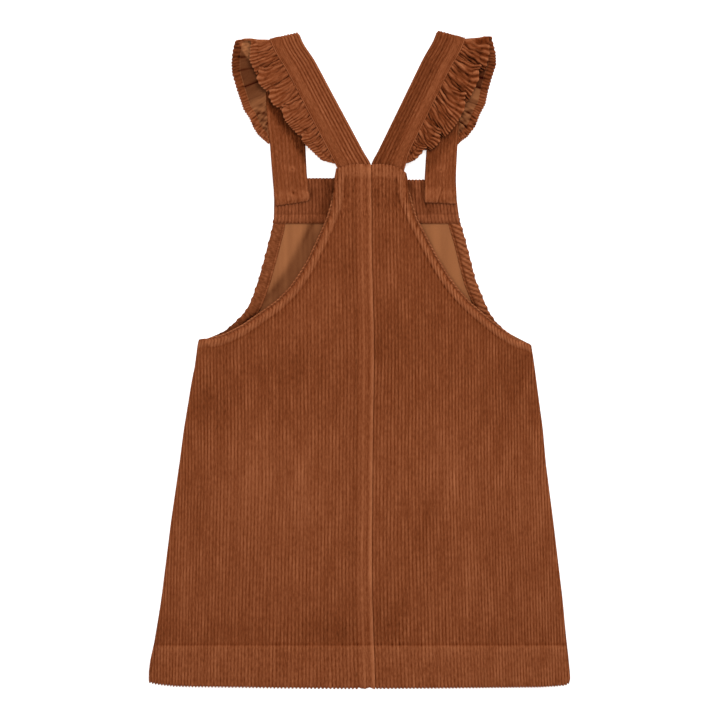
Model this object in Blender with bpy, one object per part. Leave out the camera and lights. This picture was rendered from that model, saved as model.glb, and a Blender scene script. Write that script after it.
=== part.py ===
"""A child's corduroy pinafore dress with ruffled shoulder straps, laid flat with its back up.

The dress is two layers of one-wall cloth: a front panel that reaches up as a bib, and a back cut
as two halves that narrow to a yoke between deep armholes. Two straps rise from the yoke, fold over
at the shoulder and come down onto the bib, and a gathered ruffle is sewn into the outer edge of
each. x is across the dress, y runs from hem to shoulder and z is up from the surface it lies on.
Every table below is in millimetres.
"""

import math

import bmesh
import bpy
import numpy as np

MM = 0.001
SET_UP = 0.52        # from the tables' zero to the middle of the dress's length

CLOTH = 1.6          # the wall of one layer of corduroy
HEM = 3.0            # the wall where a hem is turned up inside
SEAM_GAP = 0.3       # between pieces that are sewn to each other
RIB = 0.6            # how far a wale stands out of the cloth
WALE_LEFT = 3.2      # one wale of the left back
WALE_RIGHT = 2.95    # one wale of the right back, which lies a little tighter
WALE_BIB = 3.3       # one wale of the bib facing

HEM_STITCH = -262.4  # height on the dress of the hem's stitching
BAND = 7.2           # width of the topstitched band round a back armhole
FACING = 9.6         # width of the bias strips that finish the armholes
SEAM_AT = 12.7       # x of the back's centre seam before it leans
WIDEST = 192.9       # half the width of the hem
BIB_Z = CLOTH + SEAM_GAP    # underside of what is sewn onto the front panel's inside
FLAT_RIB = 0.4       # height of the flattened ribs beside the centre seam, and of the bias wales
YOKE_Z = 4.0         # the yoke's inside, where it lies on the bib
SIDE_Z = 1.95        # the back's inside along the side seams
STRIP_THICK = 1.15   # the bias strip and its room below the edge of a back armhole

# The back's centre seam, which leans a little: x, y
CENTRE_SEAM = [(14.6, -303.0), (14.0, -258.0), (13.1, -56.0), (10.9, 180.0)]

# The back's lapped seam: distance left of it, and height: two flat ribs and the lapped ridge
LAP = [
    (-13.2, 0.0), (-12.4, 0.4), (-9.8, 0.4), (-9.2, 0.0), (-8.6, 0.4), (-6.0, 0.4), (-5.4, 0.0),
    (-4.7, 1.1), (-1.0, 1.1), (-0.15, 0.3),
]

# The hem: x, y
HEM_LINE = [
    (-193.3, -292.0), (-192.6, -296.6), (-188.5, -298.0), (-182.4, -299.1), (-169.6, -300.5),
    (-155.8, -301.3), (-71.1, -302.5), (-8.6, -303.0), (65.0, -302.6), (129.4, -302.0),
    (166.2, -301.6), (180.0, -300.5), (188.5, -299.2), (192.6, -296.6), (193.3, -292.0),
]

# Side seams, from the hem to the corner of the armhole: x, y
SIDE_LEFT = [
    (-193.3, -291.0), (-192.6, -276.6), (-188.0, -258.2), (-182.4, -221.4), (-173.2, -147.8),
    (-165.0, -92.6), (-156.7, -37.4), (-150.2, -0.6), (-149.0, 13.2),
]
SIDE_RIGHT = [
    (193.3, -291.0), (192.4, -276.6), (190.4, -258.2), (186.5, -221.4), (177.3, -147.8),
    (170.8, -92.6), (164.4, -37.4), (160.1, -0.6), (158.5, 12.0),
]

# Back armholes, from the corner of the side seam up to the yoke: x, y, and the height at which
# the bias strip runs below the edge, which rises where it crosses the front's strip and the bib
ARMHOLE_LEFT = [
    (-147.9, 16.6, 1.9), (-136.3, 20.0, 3.0), (-122.7, 24.9, 3.75), (-107.7, 32.1, 3.75),
    (-96.7, 39.9, 3.75), (-85.5, 47.7, 3.0), (-76.6, 54.3, 1.9), (-65.4, 65.5, 1.9),
    (-56.5, 77.8, 1.9), (-47.7, 92.3, 1.9), (-40.9, 106.8, 2.5), (-34.2, 121.3, 4.0),
    (-29.8, 131.9, 4.0), (-25.9, 145.8, 4.0), (-24.2, 159.1, 4.0), (-22.9, 167.4, 4.0),
    (-21.4, 175.4, 4.0),
]
ARMHOLE_RIGHT = [
    (157.3, 13.8, 1.9), (143.2, 20.2, 3.0), (130.4, 28.4, 3.75), (117.4, 41.3, 3.75),
    (104.5, 54.1, 3.75), (93.9, 65.8, 3.0), (83.4, 77.6, 1.9), (75.2, 89.4, 1.9),
    (67.0, 103.5, 2.5), (59.9, 117.5, 3.8), (53.5, 129.2, 4.0), (49.4, 143.3, 4.0),
    (45.8, 157.4, 4.0), (44.7, 164.5, 4.0), (43.4, 171.0, 4.0),
]

# Top of the yoke: x, y
YOKE_TOP = [
    (-21.4, 175.4), (-15.6, 176.9), (-9.8, 179.2), (-5.1, 179.8), (9.0, 179.2), (10.9, 178.8),
    (14.9, 180.1), (26.0, 179.2), (34.2, 177.1), (41.3, 174.2), (43.4, 171.0),
]

# How high the back's inside lies above the surface, up the middle of the dress: y, z
BACK_INSIDE = [
    (-303.0, 3.3), (-265.6, 3.3), (-262.4, 2.9), (-259.6, 2.4), (-120.0, 2.2), (30.0, 2.2),
    (95.0, 2.6), (128.0, 4.7), (160.0, 6.4), (168.0, 7.2), (182.0, 7.3),
]

# The front panel, from the hem to the top of the bib: y, left x, right x, height of its top face
FRONT = [
    (-303.0, -192.6, 192.6, 2.4), (-299.0, -193.2, 193.2, 2.9), (-291.0, -193.3, 193.3, 2.9),
    (-268.0, -190.4, 191.4, 2.6), (-263.6, -189.4, 190.9, 1.6), (-221.4, -182.4, 186.5, 1.6),
    (-147.8, -173.2, 177.3, 1.6), (-92.6, -165.0, 170.8, 1.6), (-37.4, -156.7, 164.4, 1.6),
    (-0.6, -150.2, 160.1, 1.6), (13.0, -149.0, 158.3, 1.6), (16.4, -147.5, 152.0, 1.6),
    (21.0, -135.5, 142.3, 1.6), (26.1, -123.6, 133.0, 1.6), (36.2, -112.5, 123.0, 1.6),
    (45.4, -104.2, 117.5, 1.6), (54.6, -99.6, 113.8, 1.6), (73.0, -93.2, 106.4, 1.6),
    (91.4, -87.7, 101.8, 1.6), (109.8, -83.1, 97.2, 1.6), (119.0, -81.2, 94.5, 1.6),
    (128.2, -79.4, 91.7, 1.6), (146.6, -78.5, 89.9, 1.6), (165.4, -79.4, 89.0, 1.6),
]

# Straps, from the yoke over the shoulder to the bib: inner x, y, outer x, y, height of the
# middle of the wall, how far its ribs stand out above and below, and its wall
STRAP_LEFT_BACK = [
    (10.5, 168.0, -16.3, 168.0, 5.25, 0.0, 0.0, 2.4), (10.5, 179.0, -21.8, 179.0, 5.25, 0.1, 0.0, 2.4),
    (3.5, 191.6, -26.0, 187.0, 5.1, 0.35, 0.0, 2.4), (-6.0, 209.4, -31.5, 197.7, 4.5, 0.35, 0.0, 2.4),
    (-24.0, 243.0, -48.6, 230.5, 4.0, 0.35, 0.0, 2.4), (-40.5, 273.9, -65.5, 263.1, 4.3, 0.35, 0.0, 2.4),
    (-54.4, 298.1, -81.5, 292.2, 4.45, 0.35, 0.0, 2.4),
]
STRAP_LEFT_FRONT = [
    (-54.5, 298.0, -82.4, 292.0, 1.2, 0.0, 0.35, 2.4), (-53.0, 270.0, -85.0, 266.0, 1.2, 0.0, 0.35, 2.4),
    (-51.7, 243.0, -85.8, 241.0, 1.2, 0.0, 0.35, 2.4), (-50.5, 218.0, -84.6, 217.0, 1.2, 0.0, 0.35, 2.4),
    (-49.6, 196.0, -82.2, 196.0, 1.2, 0.0, 0.35, 2.4), (-48.8, 182.0, -81.1, 182.0, 3.2, 0.0, 0.35, 2.4),
    (-48.0, 168.5, -79.9, 168.5, 5.2, 0.0, 0.35, 2.4), (-46.5, 157.5, -78.7, 155.0, 5.2, 0.0, 0.35, 2.4),
    (-45.4, 153.6, -78.1, 148.9, 5.5, 0.0, 0.3, 3.0), (-44.4, 148.4, -76.6, 141.1, 5.4, 0.0, 0.3, 2.8),
]
STRAP_RIGHT_BACK = [
    (11.3, 168.0, 39.8, 168.0, 5.25, 0.0, 0.0, 2.4), (11.3, 179.5, 42.9, 179.5, 5.25, 0.1, 0.0, 2.4),
    (17.5, 192.0, 45.5, 189.0, 5.1, 0.35, 0.0, 2.4), (27.0, 211.5, 51.2, 201.5, 4.5, 0.35, 0.0, 2.4),
    (42.5, 243.4, 66.7, 232.9, 4.0, 0.35, 0.0, 2.4), (58.0, 275.3, 82.5, 265.2, 4.3, 0.35, 0.0, 2.4),
    (70.6, 300.0, 96.8, 293.1, 4.45, 0.35, 0.0, 2.4),
]
STRAP_RIGHT_FRONT = [
    (70.6, 299.8, 96.5, 293.0, 1.2, 0.0, 0.35, 2.4), (68.4, 270.0, 94.8, 266.0, 1.2, 0.0, 0.35, 2.4),
    (66.2, 243.0, 93.2, 241.0, 1.2, 0.0, 0.35, 2.4), (64.0, 218.0, 91.6, 217.0, 1.2, 0.0, 0.35, 2.4),
    (62.0, 196.0, 90.4, 196.0, 1.2, 0.0, 0.35, 2.4), (61.0, 182.0, 89.6, 182.0, 3.2, 0.0, 0.35, 2.4),
    (60.2, 168.5, 89.0, 168.5, 5.2, 0.0, 0.35, 2.4), (60.0, 157.0, 89.0, 156.0, 5.2, 0.0, 0.35, 2.4),
    (60.0, 152.5, 89.3, 150.0, 5.5, 0.0, 0.3, 3.0), (60.0, 144.8, 89.7, 143.2, 5.4, 0.0, 0.3, 2.8),
]

# Across a strap: fraction from the inner edge, and 1 on a rib's crest or 0 in a groove. The part
# beside the ruffle's seam is smooth.
STRAP_RIBS = [
    (0.0, 0.2), (0.05, 1.0), (0.11, 0.0), (0.17, 1.0), (0.23, 0.0), (0.29, 1.0), (0.35, 0.0),
    (0.41, 1.0), (0.47, 0.0), (0.53, 1.0), (0.59, 0.0), (0.65, 1.0), (0.70, 0.0), (0.74, 0.6),
    (0.95, 0.6), (1.0, 0.0),
]

# Free edges of the ruffles, from the yoke over the shoulder and down: distance along the strap's
# outer edge, x, y, z. Each low z is a nick between two lobes.
RUFFLE_LEFT = [
    (1.0, -26.6, 181.0, 5.0), (6.8, -34.3, 183.1, 5.2), (14.6, -41.7, 190.1, 4.7),
    (23.9, -49.0, 197.2, 4.8), (31.5, -53.0, 202.2, 6.4), (34.3, -54.6, 205.6, 4.9),
    (45.7, -62.0, 212.8, 6.4), (57.1, -67.9, 219.8, 7.0), (65.0, -71.0, 227.6, 6.8),
    (67.5, -72.0, 231.0, 5.0), (75.2, -78.8, 234.0, 7.0), (81.5, -83.2, 241.5, 6.9),
    (84.6, -84.0, 246.4, 5.2), (94.9, -90.4, 251.7, 7.0), (101.0, -94.4, 258.0, 6.9),
    (103.7, -94.6, 262.6, 5.5), (114.1, -100.9, 274.7, 7.1), (122.0, -101.6, 285.0, 7.1),
    (127.4, -101.6, 291.8, 6.7),
]
RUFFLE_LEFT_DOWN = [
    (132.6, -114.4, 291.6, 1.9), (139.0, -116.4, 282.0, 1.7), (144.0, -117.2, 273.6, 1.6),
    (154.0, -116.6, 263.4, 2.5), (164.3, -112.6, 249.6, 1.6), (174.5, -109.2, 239.5, 2.5),
    (184.6, -106.2, 230.3, 1.6), (192.9, -100.9, 222.5, 2.4), (202.1, -97.2, 213.8, 1.6),
    (212.3, -92.8, 206.9, 2.0), (222.4, -86.0, 200.4, 1.5),
]
RUFFLE_RIGHT = [
    (1.0, 45.6, 180.6, 5.0), (8.8, 51.4, 183.6, 5.2), (18.0, 59.2, 191.8, 4.6),
    (20.5, 60.6, 192.4, 4.9), (25.9, 65.5, 192.8, 6.2), (35.4, 71.7, 197.7, 6.6),
    (41.0, 74.6, 202.0, 6.4), (43.6, 74.7, 205.2, 4.9), (51.8, 79.8, 206.0, 6.9),
    (63.1, 87.5, 214.4, 7.0), (73.4, 93.6, 224.8, 7.0), (79.0, 97.6, 232.4, 6.8),
    (81.5, 97.8, 236.2, 5.2), (88.8, 101.8, 241.4, 7.0), (97.9, 106.9, 251.9, 7.0),
    (104.0, 110.6, 260.2, 6.9), (106.7, 110.6, 264.2, 5.5), (113.3, 116.1, 268.0, 7.0),
    (119.5, 119.1, 281.0, 7.1), (125.0, 118.6, 294.2, 6.7),
]
RUFFLE_RIGHT_DOWN = [
    (130.2, 122.0, 294.4, 1.9), (138.1, 125.2, 281.8, 1.7), (147.3, 125.6, 271.7, 1.6),
    (158.3, 121.4, 258.8, 2.5), (169.4, 117.9, 246.0, 1.6), (180.5, 115.6, 234.9, 2.5),
    (190.6, 110.6, 225.7, 1.6), (200.8, 106.4, 214.7, 2.4), (211.8, 99.4, 205.5, 1.6),
    (221.9, 93.2, 199.8, 1.5),
]

# Across a ruffle: fraction from seam to free edge, and how far its gathers stand up and down
RUFFLE_ROWS = [(0.0, 0.30), (0.14, 0.62), (0.45, 0.55), (0.78, 0.42), (1.0, 0.42)]
RUFFLE_WALL = 1.5
GATHER = 4.1         # one gather along the seam
SEAM_ROOM = 0.55     # from the strap's edge to the middle of the ruffle's, whose gathers lean


def column(table, index):
    """One named column of a table."""
    return np.array([row[index] for row in table], float)


def along(table, x, index=1, by=0):
    """The value in one column of a table at a place in another, straight between its rows."""
    keys = column(table, by)
    values = column(table, index)
    if keys[0] > keys[-1]:
        keys, values = keys[::-1], values[::-1]
    return np.interp(x, keys, values)


def material(name, colour, rough):
    made = bpy.data.materials.new(name)
    made.use_nodes = True
    shader = made.node_tree.nodes["Principled BSDF"]
    shader.inputs["Base Color"].default_value = (*colour, 1.0)
    shader.inputs["Roughness"].default_value = rough
    return made


def wall(name, top, under, skin, kept=None):
    """A closed wall between two grids of points, each [row][column]. The lower grid may hold only
    the columns listed in kept, and then its rims are closed with many-sided faces."""
    rows, columns = top.shape[:2]
    kept = list(range(columns)) if kept is None else kept
    last = len(kept) - 1

    def t(row, place):
        return row * columns + place

    def u(row, place):
        return rows * columns + row * len(kept) + place

    faces = []
    for row in range(rows - 1):
        for place in range(columns - 1):
            faces.append((t(row, place), t(row, place + 1), t(row + 1, place + 1), t(row + 1, place)))
        for place in range(last):
            faces.append((u(row, place), u(row + 1, place), u(row + 1, place + 1), u(row, place + 1)))
        faces.append((t(row, 0), t(row + 1, 0), u(row + 1, 0), u(row, 0)))
        faces.append((t(row, columns - 1), u(row, last), u(row + 1, last), t(row + 1, columns - 1)))
    for place in range(last):
        span = range(kept[place], kept[place + 1] + 1)
        faces.append([u(0, place), u(0, place + 1)] + [t(0, p) for p in reversed(span)])
        faces.append([u(rows - 1, place + 1), u(rows - 1, place)] + [t(rows - 1, p) for p in span])

    points = (np.concatenate([top.reshape(-1, 3), under.reshape(-1, 3)]) + [0, SET_UP, 0]) * MM
    mesh = bpy.data.meshes.new(name)
    mesh.from_pydata(points.tolist(), [], faces)
    shaped = bmesh.new()
    shaped.from_mesh(mesh)
    bmesh.ops.recalc_face_normals(shaped, faces=shaped.faces)
    shaped.to_mesh(mesh)
    shaped.free()
    piece = bpy.data.objects.new(name, mesh)
    piece.data.materials.append(skin)
    dress.objects.link(piece)
    return piece


def unit(vectors):
    return vectors / np.linalg.norm(vectors, axis=-1, keepdims=True)


def facing_out(grid):
    """The direction out of each point of a grid, along its rows and columns."""
    return unit(np.cross(np.gradient(grid, axis=0), np.gradient(grid, axis=1)))


def inset(edge, distance):
    """An open edge moved sideways, to the right of the way it runs."""
    points = np.array([row[:2] for row in edge], float)
    way = unit(np.gradient(points, axis=0))
    return points + np.stack([way[:, 1], -way[:, 0]], axis=1) * distance


def clear_scene():
    for thing in list(bpy.data.objects):
        bpy.data.objects.remove(thing, do_unlink=True)


# ---- front panel --------------------------------------------------------------------------

def hem_dip(x):
    """How far the hem rises above its lowest line, which it does towards the side seams."""
    return along(HEM_LINE, x) + 303.0


def front_panel():
    """The whole front in one wall, flat on the surface, with its hem turned up inside."""
    places = np.array([0.0, 0.014, 0.04, 0.12, 0.34, 0.66, 0.88, 0.96, 0.986, 1.0])
    y, left, right, high = (column(FRONT, i)[:, None] for i in range(4))
    x = left + (right - left) * places
    fade = np.clip((-268.0 - y) / 35.0, 0, 1)
    y = y + hem_dip(x) * fade
    top = np.stack([x, y, high + 0 * x], axis=2)
    under = top.copy()
    under[:, :, 2] = 0.0
    return wall("front_panel", top, under, corduroy)


def bib_facing():
    """The strip that lines the top of the bib: ribbed, with its lower edge turned and stitched.
    It is plain in the middle, under the yoke."""
    first, last = -78.9, 88.6
    yoke_left, yoke_right = -18.0, 38.0
    places = [first]
    ribs = [0.0]
    while places[-1] < last - WALE_BIB:
        hidden = yoke_left < places[-1] < yoke_right
        places.append(places[-1] + WALE_BIB / 2 * (8 if hidden else 1))
        ribs.append(0.0 if hidden else 1.0 - ribs[-1])
    places = np.array(places + [last])
    ribs = np.array(ribs + [0.0])
    share = (places - first) / (last - first)
    # Rows of the facing: y, height of its top face, share of the rib's height, its teeth's length
    rows = [
        (125.6, 3.0, 0.5, 0.0), (127.4, 3.4, 0.4, 0.0), (133.6, 3.4, 0.4, 0.0),
        (134.6, 3.05, 0.4, 0.0), (164.2, 3.1, 0.8, 0.7),
    ]
    top = []
    for y, high, rib, tooth in rows:
        left = along(FRONT, y, 1) + 0.5
        right = along(FRONT, y, 2) - 0.5
        x = left + (right - left) * share
        top.append(np.stack([x, y + ribs * tooth, high + ribs * rib * RIB], axis=1))
    top = np.array(top)
    kept = sorted({i for i in range(len(places)) if i % 8 == 0} | {len(places) - 1})
    under = top[:, kept].copy()
    under[:, :, 2] = BIB_Z
    return wall("bib_facing", top, under, ribbed, kept)


def front_armhole_facing(name, side):
    """A bias strip along the inside of the front's armhole edge. Its wales cross it aslant."""
    sign = -1 if side == "left" else 1
    index = 1 if side == "left" else 2
    points = 61
    reach = np.linspace(0.0, 1.0, points)
    # Places along the strip, spread evenly over its length: fraction, y
    spread = [(0.0, 25.0), (0.32, 42.0), (0.62, 79.0), (0.8, 103.0), (1.0, 124.8)]
    heights = along(spread, reach)
    edge = np.stack([along(FRONT, heights, index), heights], axis=1)
    way = unit(np.gradient(edge, axis=0))
    inward = np.stack([way[:, 1], -way[:, 0]], axis=1) * -sign
    length = np.concatenate([[0], np.cumsum(np.linalg.norm(np.diff(edge, axis=0), axis=1))])
    # Across the strip: distance from the edge, height of its top face, share of the rib's height
    rows = [(0.5, 2.7, 0.3), (1.8, 3.05, 0.8), (FACING - 1.6, 3.05, 0.8), (FACING, 2.7, 0.3)]
    top = []
    ribs = np.arange(len(edge)) % 2
    for distance, high, rib in rows:
        slant = np.clip(length + (distance - 5.0) * np.sin(math.pi * reach), 0, length[-1])
        moved = edge + inward * distance
        place = np.stack([np.interp(slant, length, moved[:, i]) for i in (0, 1)], axis=1)
        top.append(np.column_stack([place, high + ribs * rib * FLAT_RIB]))
    top = np.array(top)
    kept = list(range(0, points, 4))
    under = top[:, kept].copy()
    under[:, :, 2] = BIB_Z
    return wall(name, top, under, bias, kept)


# ---- back halves --------------------------------------------------------------------------

def half_columns(side):
    """The lines that a half of the back is built on: x, rib height. They run with the wales."""
    lines = []
    if side == "left":
        x = SEAM_AT + LAP[0][0]
        while x - WALE_LEFT / 2 > -WIDEST:
            x -= WALE_LEFT / 2
            lines.append((x, RIB if len(lines) % 2 == 0 else 0.0))
        lines[-1] = (-WIDEST, 0.0)
        lines = lines[::-1] + [(SEAM_AT + distance, high) for distance, high in LAP]
    else:
        x = SEAM_AT + SEAM_GAP / 2
        while x < WIDEST:
            lines.append((x, RIB if len(lines) % 2 else 0.0))
            x += WALE_RIGHT / 2
        lines[-1] = (WIDEST, 0.0)
    return np.array(lines)


def back_half(name, side):
    """A half of the back in one wall: wales from hem to armhole, the turned hem, the stitched band
    round the armhole and, on the left half, the lapped ridge of the centre seam."""
    lines = half_columns(side)
    sign = 1 if side == "left" else -1
    x0, rib = lines[:, 0], lines[:, 1]
    armhole = ARMHOLE_LEFT if side == "left" else ARMHOLE_RIGHT
    seam_side = SIDE_LEFT if side == "left" else SIDE_RIGHT
    corner, peak = armhole[0][0], armhole[-1][0]
    outline = [row[:2] for row in seam_side] + [row[:2] for row in armhole]
    in_yoke = x0 > peak if side == "left" else x0 < peak
    in_side = x0 < corner if side == "left" else x0 > corner
    top_edge = np.where(in_yoke, along(YOKE_TOP, x0), along(outline, x0))

    def level(distance):
        """Where each line meets the edge moved in: full distance at the armhole, less elsewhere."""
        moved = inset(armhole, distance * sign)
        rising = moved[-1] + (moved[-1] - moved[-2]) * 20
        moved = np.vstack([moved, rising]) if distance else moved
        at_armhole = along(moved, x0) if distance else top_edge
        at_side = along(seam_side, x0 - sign * distance * 0.2) if distance else top_edge
        at_side = np.where(in_side, at_side, top_edge)
        before = (x0 - sign * distance * 0.2) * sign < corner * sign
        at_side = np.where(before, along(outline, x0 - sign * distance * 0.2), at_side)
        at_armhole = np.where(in_side, top_edge, at_armhole)
        return np.minimum(np.minimum(at_armhole, at_side), top_edge - distance * 0.25)

    tooth = 0.5
    bottom = along(HEM_LINE, x0) - np.where(rib >= RIB, tooth, 0.0)
    band = np.clip(1 - np.abs(x0 - np.clip(x0, *sorted((corner, peak + sign * BAND)))) / 2.0, 0, 1)
    # Rows from hem to edge: y, height of the wall, share of the rib, share of the band's shape
    rows = [
        (bottom, 2.1, 0.8, 0), (np.full_like(x0, HEM_STITCH - 2.6), HEM, 1.0, 0),
        (np.full_like(x0, HEM_STITCH), 1.3, 0.5, 0), (np.full_like(x0, HEM_STITCH + 2.4), 2.0, 1.0, 0),
        (np.full_like(x0, -40.0), CLOTH, 1.0, 0), (np.full_like(x0, 95.0), CLOTH, 1.0, 0),
        (level(13.0), CLOTH, 1.0, 0),
        (level(BAND + 1.2), CLOTH + 0.2, 0.8, 0), (level(BAND), CLOTH - 0.5, 0.25, 1),
        (level(BAND * 0.5), CLOTH + 0.6, 0.7, 1), (level(0), 1.1, 0.4, 0),
    ]
    y = np.array([row[0] for row in rows])
    least = np.minimum(0.45, (y[-1] - y[0]) / 14)    # between rows, where the edge presses them
    for row in range(len(rows) - 2, 0, -1):
        y[row] = np.minimum(y[row], y[row + 1] - least)
    for row in range(1, len(rows) - 1):
        y[row] = np.maximum(y[row], y[row - 1] + least)

    lean = np.clip(1 - np.abs(x0 - SEAM_AT) / 120, 0, 1)    # the wales follow the seam's lean
    x = x0 + (along(CENTRE_SEAM, y, 0, 1) - SEAM_AT) * lean

    # The inside rises over what lies below it, and falls to the front panel at the side seam
    on_strip = along(armhole, x0, 2) + STRIP_THICK + SEAM_GAP
    edge_under = np.where(in_side, BIB_Z, np.where(in_yoke, YOKE_Z, on_strip))
    inside = along(BACK_INSIDE, y)
    near_edge = np.array([0, 0, 0, 0, 0, 0, 0.2, 1, 1, 1, 1])[:, None]
    inside = inside + np.maximum(edge_under - inside, 0) * near_edge
    near_side = np.clip((np.abs(x0) - 150) / 10, 0, 1)
    side_fall = near_side * np.array([0, 0, 0, 0, 0, 0, 0, 0.3, 0.6, 0.8, 1])[:, None]
    above_hem = np.clip((y - HEM_STITCH) / 14, 0, 1)
    inside = inside - np.maximum(inside - SIDE_Z, 0) * side_fall * above_hem
    high = np.array([row[1] for row in rows])[:, None] + 0 * x
    banded = np.array([row[3] for row in rows])[:, None]
    high = high + (CLOTH - high) * (1 - band) * banded
    share = np.array([row[2] for row in rows])[:, None]
    top = np.stack([x, y, inside + high + rib * share], axis=2)
    under = np.stack([x, y, inside], axis=2)

    # The plain inside keeps only the lines that its top edge bends at, and the side seam's own
    kept = [0]
    for place in range(1, len(x0) - 1):
        span = np.arange(kept[-1], place + 2)
        straight = np.interp(x0[span], x0[span[[0, -1]]], y[-1][span[[0, -1]]])
        if np.abs(y[-1][span] - straight).max() > 0.35 or len(span) > 12 or abs(x0[place]) > 183:
            kept.append(place)
    kept.append(len(x0) - 1)
    return wall(name, top, under[:, kept], ribbed, kept)


def back_armhole_facing(name, side):
    """The bias strip turned inside a back armhole. A thin lip of it rolls out past the edge."""
    sign = 1 if side == "left" else -1
    armhole = ARMHOLE_LEFT if side == "left" else ARMHOLE_RIGHT
    used = [row for row in armhole if row[1] < 165 and abs(row[0]) < 145]
    # Across the strip: distance inside the edge, height of its underside and of its top
    rows = [(-1.3, 0.25, 0.6), (-0.5, 0.0, 0.9), (BAND, 0.0, 0.7)]
    top = []
    under = []
    for distance, low, lift in rows:
        place = inset(used, distance * sign)
        high = along(armhole, place[:, 0], 2)
        top.append(np.column_stack([place, high + lift]))
        under.append(np.column_stack([place, high + low]))
    return wall(name, np.array(top), np.array(under), bias)


# ---- straps and ruffles -------------------------------------------------------------------

def over_the_fold(back, front):
    """Strap sections with the roll at the shoulder put in between the two runs: each row is inner
    x, y, z, outer x, y, z, rib above, rib below, wall."""
    def row(values):
        inner_x, inner_y, outer_x, outer_y, z, above, below, thick = values
        return np.array([inner_x, inner_y, z, outer_x, outer_y, z, above, below, thick])

    last, first = row(back[-1]), row(front[0])
    across = last[3:5] - last[0:2]
    out = unit(np.array([-across[1], across[0]]))
    out = out if out[1] > 0 else -out
    radius = (last[2] - first[2]) / 2
    roll = []
    for degrees in (60, 28, 0, -28, -60):
        turn = math.radians(degrees)
        share = (1 - math.sin(turn)) / 2
        made = last + (first - last) * share
        for start in (0, 3):
            made[start:start + 2] += out * radius * math.cos(turn)
            made[start + 2] = first[2] + radius * (1 + math.sin(turn))
        roll.append(made)
    return np.array([row(r) for r in back] + roll + [row(r) for r in front])


def strap(name, back, front):
    """A strap in one closed wall, from under the yoke, over the shoulder, to its end on the bib."""
    sections = over_the_fold(back, front)
    share = column(STRAP_RIBS, 0)
    crest = column(STRAP_RIBS, 1)
    inner, outer = sections[:, None, 0:3], sections[:, None, 3:6]
    middle = inner + (outer - inner) * share[None, :, None]
    out = facing_out(middle)
    out = out if out[2, 4, 2] > 0 else -out
    half = sections[:, None, 8:9] / 2
    soft = np.where((share == 0) | (share == 1), 0.35, 0.0)[None, :, None]    # its rounded edges
    above = middle + out * (half - soft + sections[:, None, 6:7] * crest[None, :, None])
    below = middle - out * (half - soft + sections[:, None, 7:8] * crest[None, :, None])
    return wall(name, above, below, ribbed)


def ruffle(name, back, front, up, down):
    """A gathered ruffle along the outer edge of a strap: it folds over at the shoulder with it."""
    sections = over_the_fold(back, front)[1:]
    edge = sections[:, 3:6]
    length = np.concatenate([[0], np.cumsum(np.linalg.norm(np.diff(edge, axis=0), axis=1))])
    start, end = up[0][0], down[-1][0]
    turn, back_down = up[-1][0], down[0][0]
    radius = (up[-1][3] - down[0][3]) / 2
    free = [list(row) for row in up]
    for degrees in (50, 0, -50):
        angle = math.radians(degrees)
        share = (1 - math.sin(angle)) / 2
        made = [a + (b - a) * share for a, b in zip(up[-1], down[0])]
        made[2] += radius * math.cos(angle)
        made[3] = down[0][3] + radius * (1 + math.sin(angle))
        free.append(made)
    free += [list(row) for row in down]

    before = int((turn - start) / GATHER) * 2
    after = int((end - back_down) / GATHER) * 2
    places = np.concatenate([
        np.linspace(start, turn, before + 1), np.linspace(turn, back_down, 7)[1:-1],
        np.linspace(back_down, end, after + 1),
    ])
    still = np.concatenate([np.ones(before), np.zeros(7), np.ones(after)])
    count = np.arange(len(places))
    places = places + still * 0.2 * GATHER * np.sin(count * 2.4) * np.sin(math.pi * count / count[-1])
    wave = np.where(count % 2 == 0, 1.0, -1.0) * still * (0.85 + 0.15 * np.sin(count * 1.3))
    outwards = sections[:, 3:6] - sections[:, 0:3]
    across = unit(np.stack([np.interp(places, length, outwards[:, i]) for i in (0, 1)], axis=1))
    seam = np.stack([np.interp(places, length, edge[:, i]) for i in range(3)], axis=1)
    tip = np.stack([along(free, places, i) for i in (1, 2, 3)], axis=1)
    seam[:, 0:2] += across * SEAM_ROOM
    seam[:, 2] = np.maximum(seam[:, 2], 1.4)
    grid = []
    for share, stand in RUFFLE_ROWS:
        row = seam + (tip - seam) * share
        row[:, 2] += (tip - seam)[:, 2] * (math.sin(share * math.pi) * 0.25)
        row[:, 2] = np.maximum(row[:, 2], 0.8 + stand) + wave * stand
        grid.append(row)
    middle = np.array(grid)
    plain = middle.copy()
    plain[:, :, 2] -= wave[None, :] * column(RUFFLE_ROWS, 1)[:, None]
    out = facing_out(plain)
    out = out if out[2, 4, 2] > 0 else -out
    lower = middle - out * RUFFLE_WALL / 2
    upper = middle + out * RUFFLE_WALL / 2
    return wall(name, upper, lower, gathered)


clear_scene()
dress = bpy.data.collections.new("pinafore_dress")
bpy.context.scene.collection.children.link(dress)
corduroy = material("corduroy_wrong_side", (0.27, 0.094, 0.034), 0.9)
ribbed = material("corduroy", (0.215, 0.061, 0.019), 0.95)
bias = material("corduroy_on_the_bias", (0.25, 0.078, 0.028), 0.95)
gathered = material("corduroy_ruffle", (0.21, 0.059, 0.019), 0.95)

front_panel()
bib_facing()
front_armhole_facing("front_armhole_facing_left", "left")
front_armhole_facing("front_armhole_facing_right", "right")
back_half("back_left", "left")
back_half("back_right", "right")
back_armhole_facing("back_armhole_facing_left", "left")
back_armhole_facing("back_armhole_facing_right", "right")
strap("strap_left", STRAP_LEFT_BACK, STRAP_LEFT_FRONT)
strap("strap_right", STRAP_RIGHT_BACK, STRAP_RIGHT_FRONT)
ruffle("ruffle_left", STRAP_LEFT_BACK, STRAP_LEFT_FRONT, RUFFLE_LEFT, RUFFLE_LEFT_DOWN)
ruffle("ruffle_right", STRAP_RIGHT_BACK, STRAP_RIGHT_FRONT, RUFFLE_RIGHT, RUFFLE_RIGHT_DOWN)
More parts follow.
